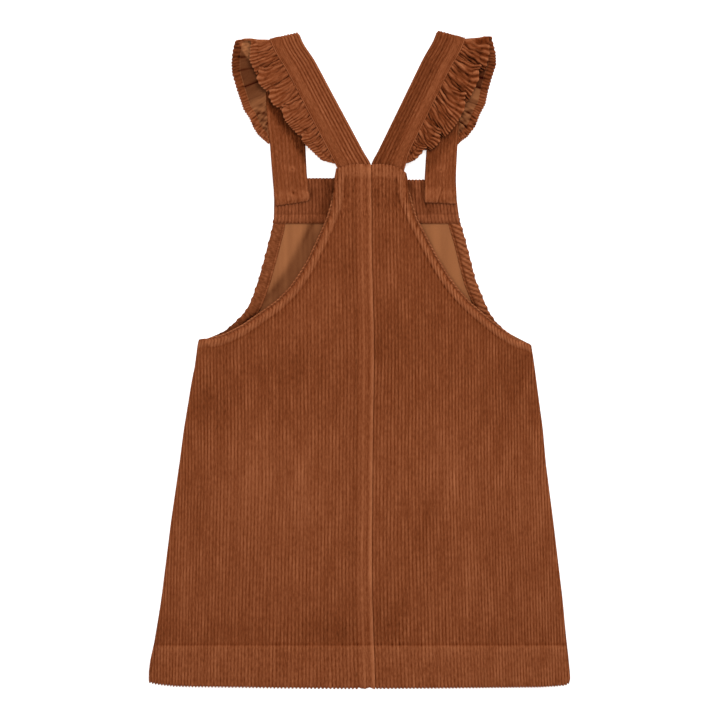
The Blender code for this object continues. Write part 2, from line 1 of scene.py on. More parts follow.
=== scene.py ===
"""A child's corduroy pinafore dress laid flat with its back up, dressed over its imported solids.

Tables are in millimetres: x across the dress, y from hem to shoulders, z up from the surface that
it lies on. Cloth is built as closed thin shells on grids whose columns run with the wales.
"""

import math

import bpy
import numpy as np
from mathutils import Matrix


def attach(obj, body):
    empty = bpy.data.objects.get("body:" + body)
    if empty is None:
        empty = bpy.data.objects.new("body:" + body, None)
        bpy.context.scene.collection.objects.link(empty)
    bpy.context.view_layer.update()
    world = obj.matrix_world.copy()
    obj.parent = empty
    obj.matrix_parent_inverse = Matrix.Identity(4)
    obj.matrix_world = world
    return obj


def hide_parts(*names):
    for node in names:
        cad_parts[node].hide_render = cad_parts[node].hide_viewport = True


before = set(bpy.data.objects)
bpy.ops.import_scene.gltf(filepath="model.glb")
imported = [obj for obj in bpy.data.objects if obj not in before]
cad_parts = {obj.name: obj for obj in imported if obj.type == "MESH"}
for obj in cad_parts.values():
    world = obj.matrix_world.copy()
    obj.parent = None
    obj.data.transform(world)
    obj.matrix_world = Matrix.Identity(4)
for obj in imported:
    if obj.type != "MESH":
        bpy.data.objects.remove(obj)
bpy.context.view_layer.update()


# ---- The cloth ----------------------------------------------------------------------------
# Rust-brown cotton corduroy, eight wales to the inch: rows of cut pile on a plain woven back.
# The crests catch the light, the grooves between them are dark, and the wrong side is smooth and
# tan. Every piece of the dress is cut from it and sewn with thread of the same colour.


def add_node(tree, kind, **settings):
    node = tree.nodes.new(kind)
    for name, value in settings.items():
        setattr(node, name, value)
    return node


def feed(node, sources):
    """Links other nodes' outputs to a node's sockets, or gives them plain values."""
    for socket, source in sources.items():
        if isinstance(source, bpy.types.NodeSocket):
            node.id_data.links.new(source, node.inputs[socket])
        else:
            node.inputs[socket].default_value = source


def sums(operation, first, second):
    """A sum in the node tree that its first value comes from."""
    node = add_node(first.id_data, "ShaderNodeMath", operation=operation)
    feed(node, {0: first, 1: second})
    return node.outputs[0]


def plus(first, second):
    return sums("ADD", first, second)


def times(first, second):
    return sums("MULTIPLY", first, second)


def centred(noise):
    return sums("SUBTRACT", noise, 0.5)


def grain(place, stretch, scale, detail):
    """Noise over the cloth, longer along the wales by 1 / stretch."""
    mapped = add_node(place.id_data, "ShaderNodeMapping")
    feed(mapped, {"Vector": place, "Scale": (1, stretch, 1)})
    noise = add_node(place.id_data, "ShaderNodeTexNoise")
    feed(noise, {"Vector": mapped.outputs[0], "Scale": scale, "Detail": detail, "Roughness": 0.7})
    return noise.outputs["Fac"]


def blend(factor, low, high):
    mixed = add_node(factor.id_data, "ShaderNodeMix", data_type="RGBA", clamp_factor=False)
    feed(mixed, {"Factor": factor, "A": low, "B": high})
    return mixed.outputs["Result"]


def new_group(name, **inputs):
    tree = bpy.data.node_groups.new(name, "ShaderNodeTree")
    for way, sockets in (("INPUT", inputs), ("OUTPUT", {"Color": "Color", "Height": "Float"})):
        for label, kind in sockets.items():
            tree.interface.new_socket(name=label, in_out=way, socket_type="NodeSocket" + kind)
    return tree, add_node(tree, "NodeGroupInput").outputs, add_node(tree, "NodeGroupOutput")


def make_pile():
    """Cut pile: the colour runs from groove to crest, flecked by its fibres, streaked along the
    wales and clouded where it is brushed. Glow, mostly painted light and shade and partly uneven
    tone, lightens it towards a paler, greyer brown and darkens it towards a redder one. Nap makes
    the flecks stronger."""
    tree, given, out = new_group(
        "corduroy_pile", Place="Vector", Rib="Float", Glow="Float", Nap="Float", Crest="Color",
        Groove="Color",
    )
    place = given["Place"]
    fibres, patches = grain(place, 0.22, 980, 4), grain(place, 0.45, 75, 2)
    streaks, clouds = grain(place, 0.1, 330, 3), grain(place, 0.7, 15, 2)
    relief = plus(times(patches, 3.8), -1.1)
    level = plus(times(centred(given["Rib"]), relief), 0.48)
    flecks = times(centred(fibres), plus(given["Nap"], 1))
    tone = plus(given["Glow"], times(flecks, 1.7))
    for noise, share in ((streaks, 0.34), (patches, 0.05), (clouds, 0.2)):
        tone = plus(tone, times(centred(noise), share))
    lifted = times(sums("MAXIMUM", tone, 0), 2)
    lowered = plus(sums("MAXIMUM", sums("MINIMUM", tone, 0), -0.95), 1)
    redder = add_node(tree, "ShaderNodeCombineXYZ")
    for socket, power in (("X", 1), ("Y", 1.2), ("Z", 1.55)):
        feed(redder, {socket: sums("POWER", lowered, power)})
    shaded = add_node(tree, "ShaderNodeVectorMath", operation="MULTIPLY")
    colour = blend(plus(level, lifted), given["Groove"], given["Crest"])
    feed(shaded, {0: colour, 1: redder.outputs[0]})
    feed(out, {"Color": shaded.outputs[0], "Height": plus(fibres, grain(place, 0.8, 2600, 1))})
    return tree


def make_weave():
    """The plain woven back of the cloth: fine crossed threads, softly clouded, and lightened
    and darkened by Glow, painted light and shade.
    """
    tree, given, out = new_group(
        "plain_back", Place="Vector", Glow="Float", Base="Color", Shade="Color",
    )
    place = given["Place"]
    threads = plus(grain(place, 0.12, 2000, 1), grain(place, 6, 400, 1))
    tone = times(sums("SUBTRACT", threads, 1), 0.14)
    tone = plus(tone, times(centred(grain(place, 0.08, 75, 2)), 0.3))
    colour = blend(plus(plus(tone, given["Glow"]), 1), given["Shade"], given["Base"])
    feed(out, {"Color": colour, "Height": threads})
    return tree


def srgb(*levels):
    """A colour for a shader from its levels out of 255."""
    shares = [level / 255 for level in levels]
    return [s / 12.92 if s <= 0.04045 else ((s + 0.055) / 1.055) ** 2.4 for s in shares] + [1.0]


def cloth_material(name, group, bump, sheen, **colours):
    """A material of one cloth face. It reads the piece's own map and its rib, glow and nap."""
    made = bpy.data.materials.new(name)
    made.use_nodes = True
    tree = made.node_tree
    shader = tree.nodes["Principled BSDF"]
    effect = add_node(tree, "ShaderNodeGroup", node_tree=group)
    feed(effect, {"Place": add_node(tree, "ShaderNodeUVMap", uv_map="cloth").outputs[0]})
    for mark in ("Rib", "Glow", "Nap"):
        if mark in effect.inputs:
            read = add_node(tree, "ShaderNodeAttribute", attribute_name=mark.lower())
            feed(effect, {mark: read.outputs["Fac"]})
    for socket, levels in colours.items():
        effect.inputs[socket].default_value = srgb(*levels)
    raised = add_node(tree, "ShaderNodeBump")
    raised.inputs["Strength"].default_value = bump
    raised.inputs["Distance"].default_value = 0.0004
    feed(raised, {"Height": effect.outputs["Height"]})
    feed(shader, {"Normal": raised.outputs[0], "Base Color": effect.outputs["Color"]})
    shader.inputs["Roughness"].default_value = 0.95
    shader.inputs["Specular IOR Level"].default_value = 0.05
    shader.inputs["Sheen Weight"].default_value = sheen
    shader.inputs["Sheen Roughness"].default_value = 0.45
    shader.inputs["Sheen Tint"].default_value = srgb(200, 115, 65)
    return made


pile, weave = make_pile(), make_weave()
corduroy = cloth_material("corduroy", pile, 0.7, 0.06, Crest=(138, 76, 44), Groove=(109, 48, 17))
# The bib's facing takes a darker copy of the cloth: painted shade, where it lies low between the
# yoke and the straps
corduroy_shaded = cloth_material(
    "corduroy_facing_shaded", pile, 0.7, 0.06, Crest=(133, 73, 43), Groove=(98, 44, 18))
# Bias strips take a lighter copy of the cloth with a little more sheen: painted light on their
# rounded, puffed strips
corduroy_bias_lit = cloth_material(
    "corduroy_on_the_bias", pile, 0.7, 0.08, Crest=(146, 84, 51), Groove=(102, 47, 19))
corduroy_back = cloth_material(
    "corduroy_wrong_side", weave, 0.35, 0.05, Base=(150, 94, 58), Shade=(62, 19, 2))


# ---- Front panel --------------------------------------------------------------------------
# Bib and skirt in one piece, lying face down: its smooth wrong side shows in the armholes, and its
# wales are on the surface below. Soft bands run up the wrong side, and the hem is turned up.

RISE = 0.52          # from the tables' zero to the middle of the dress's length

# From the hem to the top of the bib: y, left x, right x, height of its top face
FRONT = [
    (-303, -192.8, 192.8, 2.4), (-299, -193.6, 193.5, 2.9), (-291, -193.8, 193.8, 2.9),
    (-268, -190.4, 191.6, 2.6), (-263.6, -189.4, 191.1, 1.6), (-221.4, -182.4, 187.1, 1.6),
    (-147.8, -173.2, 178.2, 1.6), (-92.6, -165.2, 171.3, 1.6), (-65, -161.6, 168.9, 1.6),
    (-37.4, -157, 165.3, 1.6), (-19, -154, 162.8, 1.6), (-0.6, -150.2, 160.5, 1.6),
    (13, -149, 158.5, 1.6), (16.4, -147.5, 152.6, 1.6), (21, -135.5, 143.6, 1.6),
    (26.1, -123.6, 134.3, 1.6), (36.2, -112.2, 124.1, 1.6), (45.4, -103.9, 118.4, 1.6),
    (54.6, -99.2, 114.5, 1.6), (73, -92.8, 107, 1.6), (91.4, -87.7, 102.3, 1.6),
    (109.8, -82.9, 97.7, 1.6), (119, -80.5, 95, 1.6), (128.2, -78.8, 92.3, 1.6),
    (146.6, -78.5, 89.9, 1.6), (165.4, -79.4, 89, 1.6),
]
BIB_RISE = 1.4       # how much higher the bib's top edge is in its left half

# The hem: x, y
HEM_LINE = [
    (-194.2, -296.4), (-193.2, -297.4), (-188.5, -298.6), (-182.4, -299.6), (-169.6, -300.9),
    (-155.8, -301.3), (-71.1, -302.5), (-8.6, -303), (65, -302.6), (129.4, -302), (166.2, -301.6),
    (180, -300.7), (188.5, -299.9), (192.4, -298.6), (193.6, -296),
]

# The back's armholes, from the corner of the side seam up to the yoke: x, y, and the height at
# which its bias strip runs, which rises where it crosses the front's strip and the bib
ARMHOLES = {"left": [
    (-148, 18.2, 1.9), (-143.8, 20, 2.3), (-136.3, 21.1, 3), (-130, 21.8, 3.4),
    (-122.7, 24.5, 3.75), (-107.7, 32.1, 3.75), (-96.7, 39.9, 3.75), (-85.5, 47.7, 3),
    (-76.6, 54.3, 1.9), (-65.4, 65.5, 1.9), (-56.5, 77.8, 1.9), (-47.7, 92.3, 1.9),
    (-40.9, 106.8, 2.5), (-34.2, 121.3, 4), (-29.8, 131.9, 4), (-25.9, 145.8, 4),
    (-24.2, 159.1, 4), (-22.9, 167.4, 4), (-21.4, 175.4, 4),
], "right": [
    (157.3, 14.2, 1.9), (149, 18, 2.5), (143.2, 21.2, 3), (130.4, 29.4, 3.75), (116.2, 40.8, 3.75),
    (102.7, 52.5, 3.75), (91.9, 64, 3), (82.6, 76.9, 1.9), (75, 89.2, 1.9), (67, 103.5, 2.5),
    (59.9, 117.5, 3.8), (53.5, 129.2, 4), (49.4, 143.3, 4), (45.8, 157.4, 4), (44.7, 164.5, 4),
    (43.4, 171, 4),
]}

FRONT_INSIDE = 1.9   # height at which the front's facings lie

# Across a wale: share of its width, height
WALE_SHAPE = [(0, 0), (0.16, 0.62), (0.36, 1), (0.64, 1), (0.84, 0.62)]


def along(table, place, index=1, by=0):
    """The value in one column of a table at a place in another, straight between its rows."""
    keys, values = np.array([(row[by], row[index]) for row in table], float).T
    if keys[0] > keys[-1]:
        keys, values = keys[::-1], values[::-1]
    return np.interp(place, keys, values)


def ease(value, low, high):
    """0 at low and beyond it, 1 at high and beyond that, and a smooth change between them."""
    share = np.clip((value - low) / (high - low), 0, 1)
    return share * share * (3 - 2 * share)


def bell(value, at, wide):
    """1 at a place, with a smooth fall to nothing on both sides."""
    return np.exp(-((value - at) / wide) ** 2)


def drift(a, b, turn):
    """A smooth uneven value between -1 and 1 over two coordinates, the same each run."""
    return (np.sin(a + 1.7 * b + turn) + np.sin(1.1 * b - 0.6 * a + 2.3 * turn)
            + np.sin(1.9 * a - 0.7 * b + 3.1 * turn)) / 3


def gridded(*values):
    """A grid of points, or of places on the cloth, from each of their values."""
    return np.stack(np.broadcast_arrays(*values), axis=2)


def quads(number):
    """Faces of a grid, given the number of each point."""
    corners = [number[:-1, :-1], number[:-1, 1:], number[1:, 1:], number[1:, :-1]]
    return np.stack(corners, axis=2).reshape(-1, 4)


def shell(name, face, back, maps, marks, skins, every=1, rows_kept=None, turned=None):
    """A closed wall between two grids of points, [row][column]. The back may keep fewer rows and
    columns. Maps holds each point's place on the cloth, marks its rib, glow and nap, as a pair
    where the back's differ, and skins the materials of the face and the back. From the row turned
    on, the cloth's face shows on the back too."""
    rows, columns = face.shape[:2]
    kept_r = np.arange(rows) if rows_kept is None else np.array(rows_kept)
    kept_c = np.array([*range(0, columns - 1, every), columns - 1])
    pick = np.ix_(kept_r, kept_c)
    number = np.arange(rows * columns).reshape(rows, columns)
    under = number.size + np.arange(number[pick].size).reshape(number[pick].shape)
    faces, lower = quads(number).tolist(), quads(under)[:, ::-1].tolist()
    rims = []
    for i in range(len(kept_c) - 1):
        span = slice(kept_c[i], kept_c[i + 1] + 1)
        rims.append([under[0, i], under[0, i + 1], *number[0, span][::-1]])
        rims.append([under[-1, i + 1], under[-1, i], *number[-1, span]])
    for i in range(len(kept_r) - 1):
        span = slice(kept_r[i], kept_r[i + 1] + 1)
        rims.append([under[i + 1, 0], under[i, 0], *number[span, 0]])
        rims.append([under[i, -1], under[i + 1, -1], *number[span, -1][::-1]])
    points = np.concatenate([face.reshape(-1, 3), back[pick].reshape(-1, 3)])
    mesh = bpy.data.meshes.new(name)
    mesh.from_pydata(((points + [0, RISE, 0]) * 0.001).tolist(), [], faces + rims + lower)
    mesh.polygons.foreach_set("use_smooth", [True] * len(mesh.polygons))
    plain = len(lower) if turned is None else turned * (len(kept_c) - 1)
    lining = [0] * (len(faces) + len(rims)) + [1] * plain + [0] * (len(lower) - plain)
    mesh.polygons.foreach_set("material_index", lining)
    cloth_map = np.concatenate([maps.reshape(-1, 2), maps[pick].reshape(-1, 2)]) * 0.001
    corner = np.empty(len(mesh.loops), int)
    mesh.loops.foreach_get("vertex_index", corner)
    mesh.uv_layers.new(name="cloth").data.foreach_set("uv", cloth_map[corner].ravel())
    for label, values in marks.items():
        pair = values if isinstance(values, tuple) else (values, values)
        upper, beneath = (np.broadcast_to(half, (rows, columns)) for half in pair)
        data = np.concatenate([upper.ravel(), beneath[pick].ravel()]).astype(np.float32)
        mesh.attributes.new(label, "FLOAT", "POINT").data.foreach_set("value", data)
    piece = bpy.data.objects.new(name, mesh)
    for skin in skins:
        mesh.materials.append(skin)
    bpy.context.scene.collection.objects.link(piece)
    bpy.ops.object.select_all(action="DESELECT")
    bpy.context.view_layer.objects.active = piece
    piece.select_set(True)
    bpy.ops.object.mode_set(mode="EDIT")
    bpy.ops.mesh.select_all(action="SELECT")
    bpy.ops.mesh.normals_make_consistent(inside=False)
    bpy.ops.object.mode_set(mode="OBJECT")
    piece.select_set(False)
    return piece


def fit(piece, node):
    """The piece moves with the dress and stands for one of its solids."""
    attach(piece, "root")
    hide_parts(node)


def wales_across(count):
    """Places of the lines of many equal wales, from 0 to 1, and the height of each."""
    lines = [((i + place) / count, high) for i in range(count) for place, high in WALE_SHAPE]
    return np.array(lines + [(1, 0)]).T


def bib_top(x, y):
    return y + BIB_RISE * ease(-x, 0, 12) * ease(y, 146, 162)


def front_panel():
    places, wale = wales_across(122)
    steps = [np.linspace(a[0], b[0], 5)[:-1] for a, b in zip(FRONT, FRONT[1:])]
    y = np.concatenate([*steps, [FRONT[-1][0]]])[:, None]
    left, right, high = (along(FRONT, y, i) for i in (1, 2, 3))
    # Beside the armholes its edges lie a little inside those of the bias strips
    within = ease(y, 26, 36) * ease(y, 124, 118)
    x = left + within + (right - left - 2 * within) * places
    fade = np.clip((-268 - y) / 35, 0, 1)
    y = bib_top(x, y + (along(HEM_LINE, x) - FRONT[0][0]) * fade + 2.2 * ease(-y, 299, 303))
    bands = 0.35 * np.sin(x / 3.4 + drift(x / 30, y / 60, 1)) * ease(y, 25, 50) * ease(y, 122, 112)
    top = gridded(x, y, high + np.abs(bands))
    under = gridded(x, y, 0.55 * (1 - wale))
    # The back's edge keeps the light off the left armhole, and a little off the right one
    gap = along(ARMHOLES["left"], y, 0, 1) - x
    shade = -0.56 * ease(gap, 19, 10.5) * (1 - 0.3 * ease(y, 114, 122) * ease(gap, 12, 5))
    shade -= 0.2 * bell(gap, 11, 1.6) * ease(y, 98, 116)
    fine = np.sin(x / 0.9 + 2 * np.sin(x / 4)) * ease(y, 40, 60)
    shade += 0.05 * np.sin(x / 2.6 + y / 30) + 0.05 * fine
    shade -= 0.34 * ease(y, 88, 50) * ease(gap, 6, 14)
    gap = x - along(ARMHOLES["right"], y, 0, 1)
    shade = np.where(x > 0, 0.05 * np.sin(x / 2.9 + 2.4) - 0.2 * bell(gap, 0.6, 0.9), shade)
    # The wales are on the side below, so the shell's full grid is that one
    piece = shell(
        "front_panel_cloth", under, top, gridded(x, y),
        {"rib": (wale, 0.5), "glow": (0.0, shade)},
        [corduroy, corduroy_back], every=5,
    )
    fit(piece, "front_panel")


front_panel()


# ---- Bib facing ---------------------------------------------------------------------------
# A strip of corduroy lining the top of the bib, wales upright, so that its cut top edge is
# toothed. Its lower edge is turned under as a puffed band and stitched down.

# From its lower edge up: y, height of its top face, share of the wales' height, its teeth's length
BIB_ROWS = [
    (125, 2.3, 0.6, 0), (125.6, 2.7, 0.7, 0), (126.2, 2.8, 0.7, 0), (127, 3.2, 0.9, 0),
    (128.4, 3.4, 1, 0), (130.5, 3.5, 1, 0), (132.4, 3.4, 1, 0), (133.3, 3.25, 0.7, 0),
    (133.8, 3.1, 0.7, 0), (134.4, 3.3, 0.9, 0), (136.5, 3.3, 1, 0), (139, 3.2, 1, 0),
    (144, 3.1, 1, 0), (152, 3.1, 1, 0), (160, 3.1, 1, 0.2), (163, 3, 1, 0.7),
    (163.9, 2.7, 0.9, 1.1), (164.3, 2.2, 0.6, 1.4),
]


def upright(table):
    """A table's columns, each of them a column for the rows of a grid."""
    return np.array(table, float).T[:, :, None]


def wave(turns):
    """1 at each whole turn and 0 half way between."""
    return 0.5 + 0.5 * np.cos(2 * math.pi * turns)


def spots(table, x, y, bend=0):
    """Smooth bumps from a table, put together: x, y, half width, half height, rise. They may bend
    from side to side as they run up, by a share of their half width."""
    total = 0
    for at_x, at_y, wide, tall, rise in table:
        aside = bend * wide * np.sin((y - at_y) / tall * 1.4 + at_x)
        total = total + rise * bell(x + aside, at_x, wide) * bell(y, at_y, tall)
    return total


def bib_facing():
    places, wale = wales_across(53)
    y, high, tall, tooth = upright(BIB_ROWS)
    left, right = along(FRONT, y, 1) + 0.5, along(FRONT, y, 2) - 0.5
    x = left + (right - left) * places
    y = bib_top(x, y)
    uneven = 1 + 0.15 * drift(x / 4, y / 9, 2)
    top = gridded(x, y + wale * tooth, high + 0.75 * wale * tall * uneven)
    under = gridded(x, y, FRONT_INSIDE)
    # Painted light and shade, with some uneven tone: lighter on the puffed band and along its lower
    # edge, towards the top and by the straps' ends, darker in the fold above the band
    lit = 0.05 + 0.1 * drift(x / 3, y / 7, 1) + 0.08 * ease(y, 153, 158)
    lit += 0.1 * ease(y, 135, 133) - 0.1 * bell(y, 133.7, 0.7) + 0.25 * ease(y, 125.5, 125.1)
    lit += 0.09 * ease(x, -54, -62) * ease(y, 144, 140) + 0.08 * ease(x, 68, 76)
    # Painted shade in the dimples that the stitches draw in along the lower edge, one to a wale
    lit -= np.where(x < 12, 0.5, 0.3) * wave(x / 3.5) * bell(y, 125.9, 0.8)
    # The yoke's and the straps' edges keep the light off the cloth beside them
    lit -= (x < 12) * (0.16 * ease(x, -47, -44) + 0.34 * ease(x, -40, -27))
    beside = ease(y, 140, 150) * (x > 12)
    lit -= 0.3 * (x > 12) * ease(x, 51, 45.5) + 0.07 * (x > 12) * ease(y, 134, 136)
    lit -= 0.3 * ease(x, 54.5, 58) * ease(x, 61, 60) * beside
    # Slits of painted shade at the bulge of the left strap's end and under the right one's corner,
    # and painted light under the right one's outer part
    lit += spots([(-44.6, 149.8, 0.9, 3.2, -0.7)], x, y)
    lit -= 0.45 * bell(y + 0.4 * (x - 62), 143.6, 0.9) * ease(x, 59, 61) * ease(x, 69, 66)
    lit += 0.35 * bell(y, 142.6, 1) * ease(x, 73, 78)
    # Beside the yoke's edge on the right one furrow gets painted shade, and the wale next to it
    # painted light
    gap = x - 49 + 0.2 * (y - 161.5)
    lit += beside * ease(y, 163, 158) * (0.16 * bell(gap, 3.6, 1.3) - 0.4 * bell(gap, 0, 0.9))
    piece = shell(
        "bib_facing_cloth", top, under, gridded(x, y),
        {"rib": wale * tall, "glow": lit}, [corduroy_shaded, corduroy_back], every=5,
    )
    fit(piece, "bib_facing")


bib_facing()


# ---- Bias strips of the front armholes ----------------------------------------------------
# Strips cut aslant to the wales and sewn round the armhole's edge, then turned in. They are full
# and rounded, so each wale crosses them as a bulge, like the strands of a rope.

# Across a strip: share of its width from the edge, height, share of the wales' height
BIAS_ROWS = [
    (0, 0.3, 0.3), (0.02, 0.8, 0.7), (0.06, 1.2, 0.9), (0.13, 1.45, 1), (0.22, 1.6, 1),
    (0.32, 1.65, 1), (0.42, 1.6, 1), (0.52, 1.5, 1), (0.61, 1.3, 0.9), (0.69, 1.05, 0.8),
    (0.755, 0.75, 0.5), (0.8, 0.6, 0.3), (0.84, 0.75, 0.3), (0.88, 0.95, 0.5), (0.92, 0.9, 0.5),
    (0.96, 0.7, 0.4), (1, 0.3, 0.3),
]
BULGE = 5.4          # one wale along the strip
# Width, how far the wales lean across it, their height, how far the edge bulges
BIAS_LOOKS = {"left": (11.2, 0.8, 0.3, 0.6), "right": (11, -0.95, 1.05, 0.55)}
# Along a strip: share of its length, y
BIAS_RUN = [(0, 24), (0.32, 42), (0.62, 79), (0.8, 103), (1, 130)]


def unit(vectors):
    return vectors / np.linalg.norm(vectors, axis=-1, keepdims=True)


def lengths(points):
    """How far along a line each of its points is."""
    steps = np.linalg.norm(np.diff(points, axis=0), axis=1)
    return np.concatenate([[0], np.cumsum(steps)])


def smoothed(rows, times_over):
    """Rows rounded off between the first and the last."""
    for turn in range(times_over):
        rows[1:-1] = (rows[:-2] + 2 * rows[1:-1] + rows[2:]) / 4
    return rows


def front_bias(side):
    left = side == "left"
    wide, lean, deep, wavy = BIAS_LOOKS[side]
    reach = np.linspace(0, 1, 400)
    y = along(BIAS_RUN, reach)
    edge = smoothed(np.stack([along(FRONT, y, 1 if left else 2), y], axis=1), 30)
    way = unit(np.gradient(edge, axis=0))
    inward = np.stack([way[:, 1], -way[:, 0]], axis=1) * (1 if left else -1)
    length = lengths(edge)
    across, lift, tall = upright(BIAS_ROWS)
    distance = across * (wide + 0.2) - 0.2
    uneven = 0.5 * np.sin(length / 9) + 0.25 * np.sin(length / 2.7 + 1)
    phase = (length + distance * lean + uneven) / BULGE
    wale = wave(phase) ** 0.75 * tall
    scallop = wavy * (0.5 * np.cos(math.pi * phase) + 0.5 * np.cos(2 * math.pi * phase))
    scallop *= ease(across, 0.25, 0) * (0.4 + 0.6 * ease(length, 4, 26))
    place = edge[None] + inward[None] * (distance - scallop)[:, :, None]
    above = (lift + deep * wale) * np.minimum(1, 0.45 + reach * 6)
    above *= 1 - 0.85 * ease(y, 122, 125.5)
    x, y = place[:, :, 0], place[:, :, 1]
    top, under = gridded(x, y, FRONT_INSIDE + above), gridded(x, y, FRONT_INSIDE)
    # Uneven tone, painted light on the strip's wales and its inner ridge, and painted shade along
    # its stitching and towards its lower end, beside the back's lip
    if left:
        rib = 0.35 + 0.35 * wale
        glow = -0.06 + 0.12 * drift(length / 4 + 2 * across, across * 9, 0.4)
        glow += (0.22 + 0.1 * np.cos(length * 1.9)) * bell(across, 0.9, 0.05)
        glow -= 0.45 * ease(length, 42, 22) * ease(across, 0.3, 0.8) + 0.1 * bell(across, 0.8, 0.04)
    else:
        rib = 0.15 + 0.85 * wale
        glow = 0.24 * wale - 0.3 * bell(across, 0.8, 0.05) + 0.1 * ease(across, 0.85, 0.95)
        glow -= 0.04 + 0.5 * ease(length, 34, 14) * ease(across, 0.25, 0.8)
    # Where the strip runs under the back's edge it lies in shade
    gap = y - along(ARMHOLES[side], x)
    glow -= (0.42 if left else 0.3) * np.exp(-np.maximum(gap - 2, 0) / 3.5)
    piece = shell(
        "front_armhole_" + side + "_cloth", top, under, gridded(length * 0.7, distance),
        {"rib": rib, "glow": glow}, [corduroy_bias_lit, corduroy_back], every=6,
    )
    fit(piece, "front_armhole_facing_" + side)


front_bias("left")
front_bias("right")


# ---- Back halves --------------------------------------------------------------------------
# The back is cut as two halves, sewn up the middle in a lapped seam whose ridge lies on the left
# half. Wales run from the hem, turned up and stitched, to the armholes, whose edges are faced and
# topstitched into a puffed band, and to the yoke's top, where the facing inside fills the cloth.

# The centre seam, which leans a little: x, y
CENTRE_SEAM = [(14.6, -303), (14, -258), (13.1, -56), (10.9, 180)]
# How far the cloth beside it is drawn off that line: y, distance
SEAM_WANDER = [
    (-294, 0), (-277, -0.5), (-255, -1.1), (-218, -1.7), (-195, -2), (-165, -1.95), (-140, -1.4),
    (-100, -1.1), (-70, -0.6), (-45, 0), (-15, 0.6), (5, 1), (30, 0.9), (75, 0.5), (95, 0.1),
    (120, 0),
]

# Side seams, from the hem to the corner of the armhole: x, y
SIDES = {"left": [
    (-194.2, -297), (-193.8, -291), (-192.6, -276.6), (-188, -258.2), (-182.4, -221.4),
    (-173.2, -147.8), (-165.2, -92.6), (-161.7, -65), (-157.1, -37.4), (-154.2, -19),
    (-150.2, -0.6), (-149.3, 13), (-148, 18.2),
], "right": [
    (193.9, -291), (192.5, -276.6), (190.6, -258.2), (187.3, -221.4), (178.5, -147.8),
    (171.4, -92.6), (169.2, -65), (165.4, -37.4), (160.6, -0.6), (158.6, 12), (157.3, 14.2),
]}

# Top of the yoke: x, y
YOKE_TOPS = {"left": [
    (-21.4, 175.4), (-15.6, 176.9), (-9.8, 179.2), (-5.1, 179.8), (9, 179.2), (10.9, 178.8),
], "right": [
    (10.9, 178.8), (14.9, 180.1), (26, 179.2), (34.2, 177.1), (41.3, 174.2), (43.4, 171),
]}

# How high the back's inside lies, up the middle of the dress: y, z
BACK_INSIDE = [
    (-303, 3.3), (-265.6, 3.3), (-262.4, 2.9), (-259.6, 2.4), (-120, 2.2), (30, 2.2), (95, 2.6),
    (128, 4.7), (160, 6.4), (168, 7.2), (182, 7.3),
]

# Width of one wale by its distance from the centre seam: distance, width. The cloth turns down
# towards the side seams, so its wales look narrower there.
WALE_WIDTHS = {"left": [
    (0, 3.28), (28, 3.3), (56, 3.27), (84, 3.24), (111, 3.18), (139, 3.12), (166, 2.88),
    (194, 2.75),
], "right": [
    (0, 3.26), (27, 3.2), (54, 3.06), (82, 2.93), (110, 2.8), (137, 2.7), (165, 2.63), (194, 2.55),
]}

# The lapped seam on the left half: distance from it, height, share of a wale
LAP = [
    (-14.5, 0, 0), (-13.7, 0.45, 0.5), (-12.5, 0.6, 0.8), (-11.6, 0.4, 0.5), (-11, 0.05, 0.2),
    (-10.3, 0.5, 0.6), (-9, 0.75, 1), (-8, 0.5, 0.6), (-7.5, 0.15, 0.3), (-7, 0.45, 0.5),
    (-6.3, 0.6, 0.7), (-5.3, 0.4, 0.4), (-4.7, 0.05, 0.1), (-4.1, 0.5, 0.4), (-3, 0.8, 0.7),
    (-1.4, 1, 1), (-0.5, 0.95, 1), (0, 0.6, 0.9),
]

RELIEF = 0.72        # how far a wale stands out of the cloth
HEM_STITCH = -262.4  # height on the dress of the hem's stitching
SPREAD_FROM = -110   # below this the wales spread towards the hem
SPREAD_OVER = 90     # how far from the centre seam they have spread all the way
WIDEST = 208         # from the centre seam to past the side seams at the hem

# Up the hem: height above its edge or, for the rest, above the stitching, then the wall and the
# share of the wales' height
HEM_EDGE = [(0, 1.3, 0.6), (0.5, 2.2, 0.8), (1.6, 2.8, 1)]
HEM_BAND = [
    (-30, 2.8, 1), (-20, 2.8, 1), (-10, 2.9, 1), (-5, 3.1, 1), (-2.6, 3.1, 1), (-1.2, 2.8, 0.9),
    (-0.2, 2.1, 0.7), (0.5, 1.6, 0.6), (1.4, 1.6, 0.8), (3, 1.6, 1), (6, 1.6, 1),
]

# In from the edge: distance, then the wall and the share of the wales' height at a side seam, at
# an armhole and at the yoke's top
EDGE_ROWS = [
    (22, 1.6, 1, 1.6, 1, 1.6, 1), (17, 1.6, 1, 1.6, 1, 1.6, 1), (13, 1.6, 1, 1.6, 1, 1.55, 0.9),
    (10.6, 1.6, 1, 1.6, 1, 1.75, 0.9), (9.3, 1.6, 1, 1.55, 0.9, 2.05, 1.1),
    (8.4, 1.6, 1, 1.4, 0.7, 2.1, 1.2), (7.8, 1.6, 1, 1.45, 0.7, 2.1, 1.2),
    (7.1, 1.6, 1, 1.75, 0.9, 2.1, 1.2), (6.2, 1.6, 1, 2.1, 1.2, 2.1, 1.2),
    (5, 1.6, 1, 2.35, 1.3, 2.1, 1.2), (3.8, 1.45, 1, 2.4, 1.3, 2.1, 1.2),
    (2.7, 1.3, 0.9, 2.25, 1.2, 2.1, 1.2), (1.7, 1.15, 0.8, 1.9, 1.1, 1.85, 1.5),
    (0.9, 0.85, 0.7, 1.5, 0.9, 1.45, 1.7), (0.3, 0.5, 0.6, 1.1, 0.7, 0.95, 1.7),
    (0, 0.3, 0.5, 0.7, 0.6, 0.6, 1.2),
]
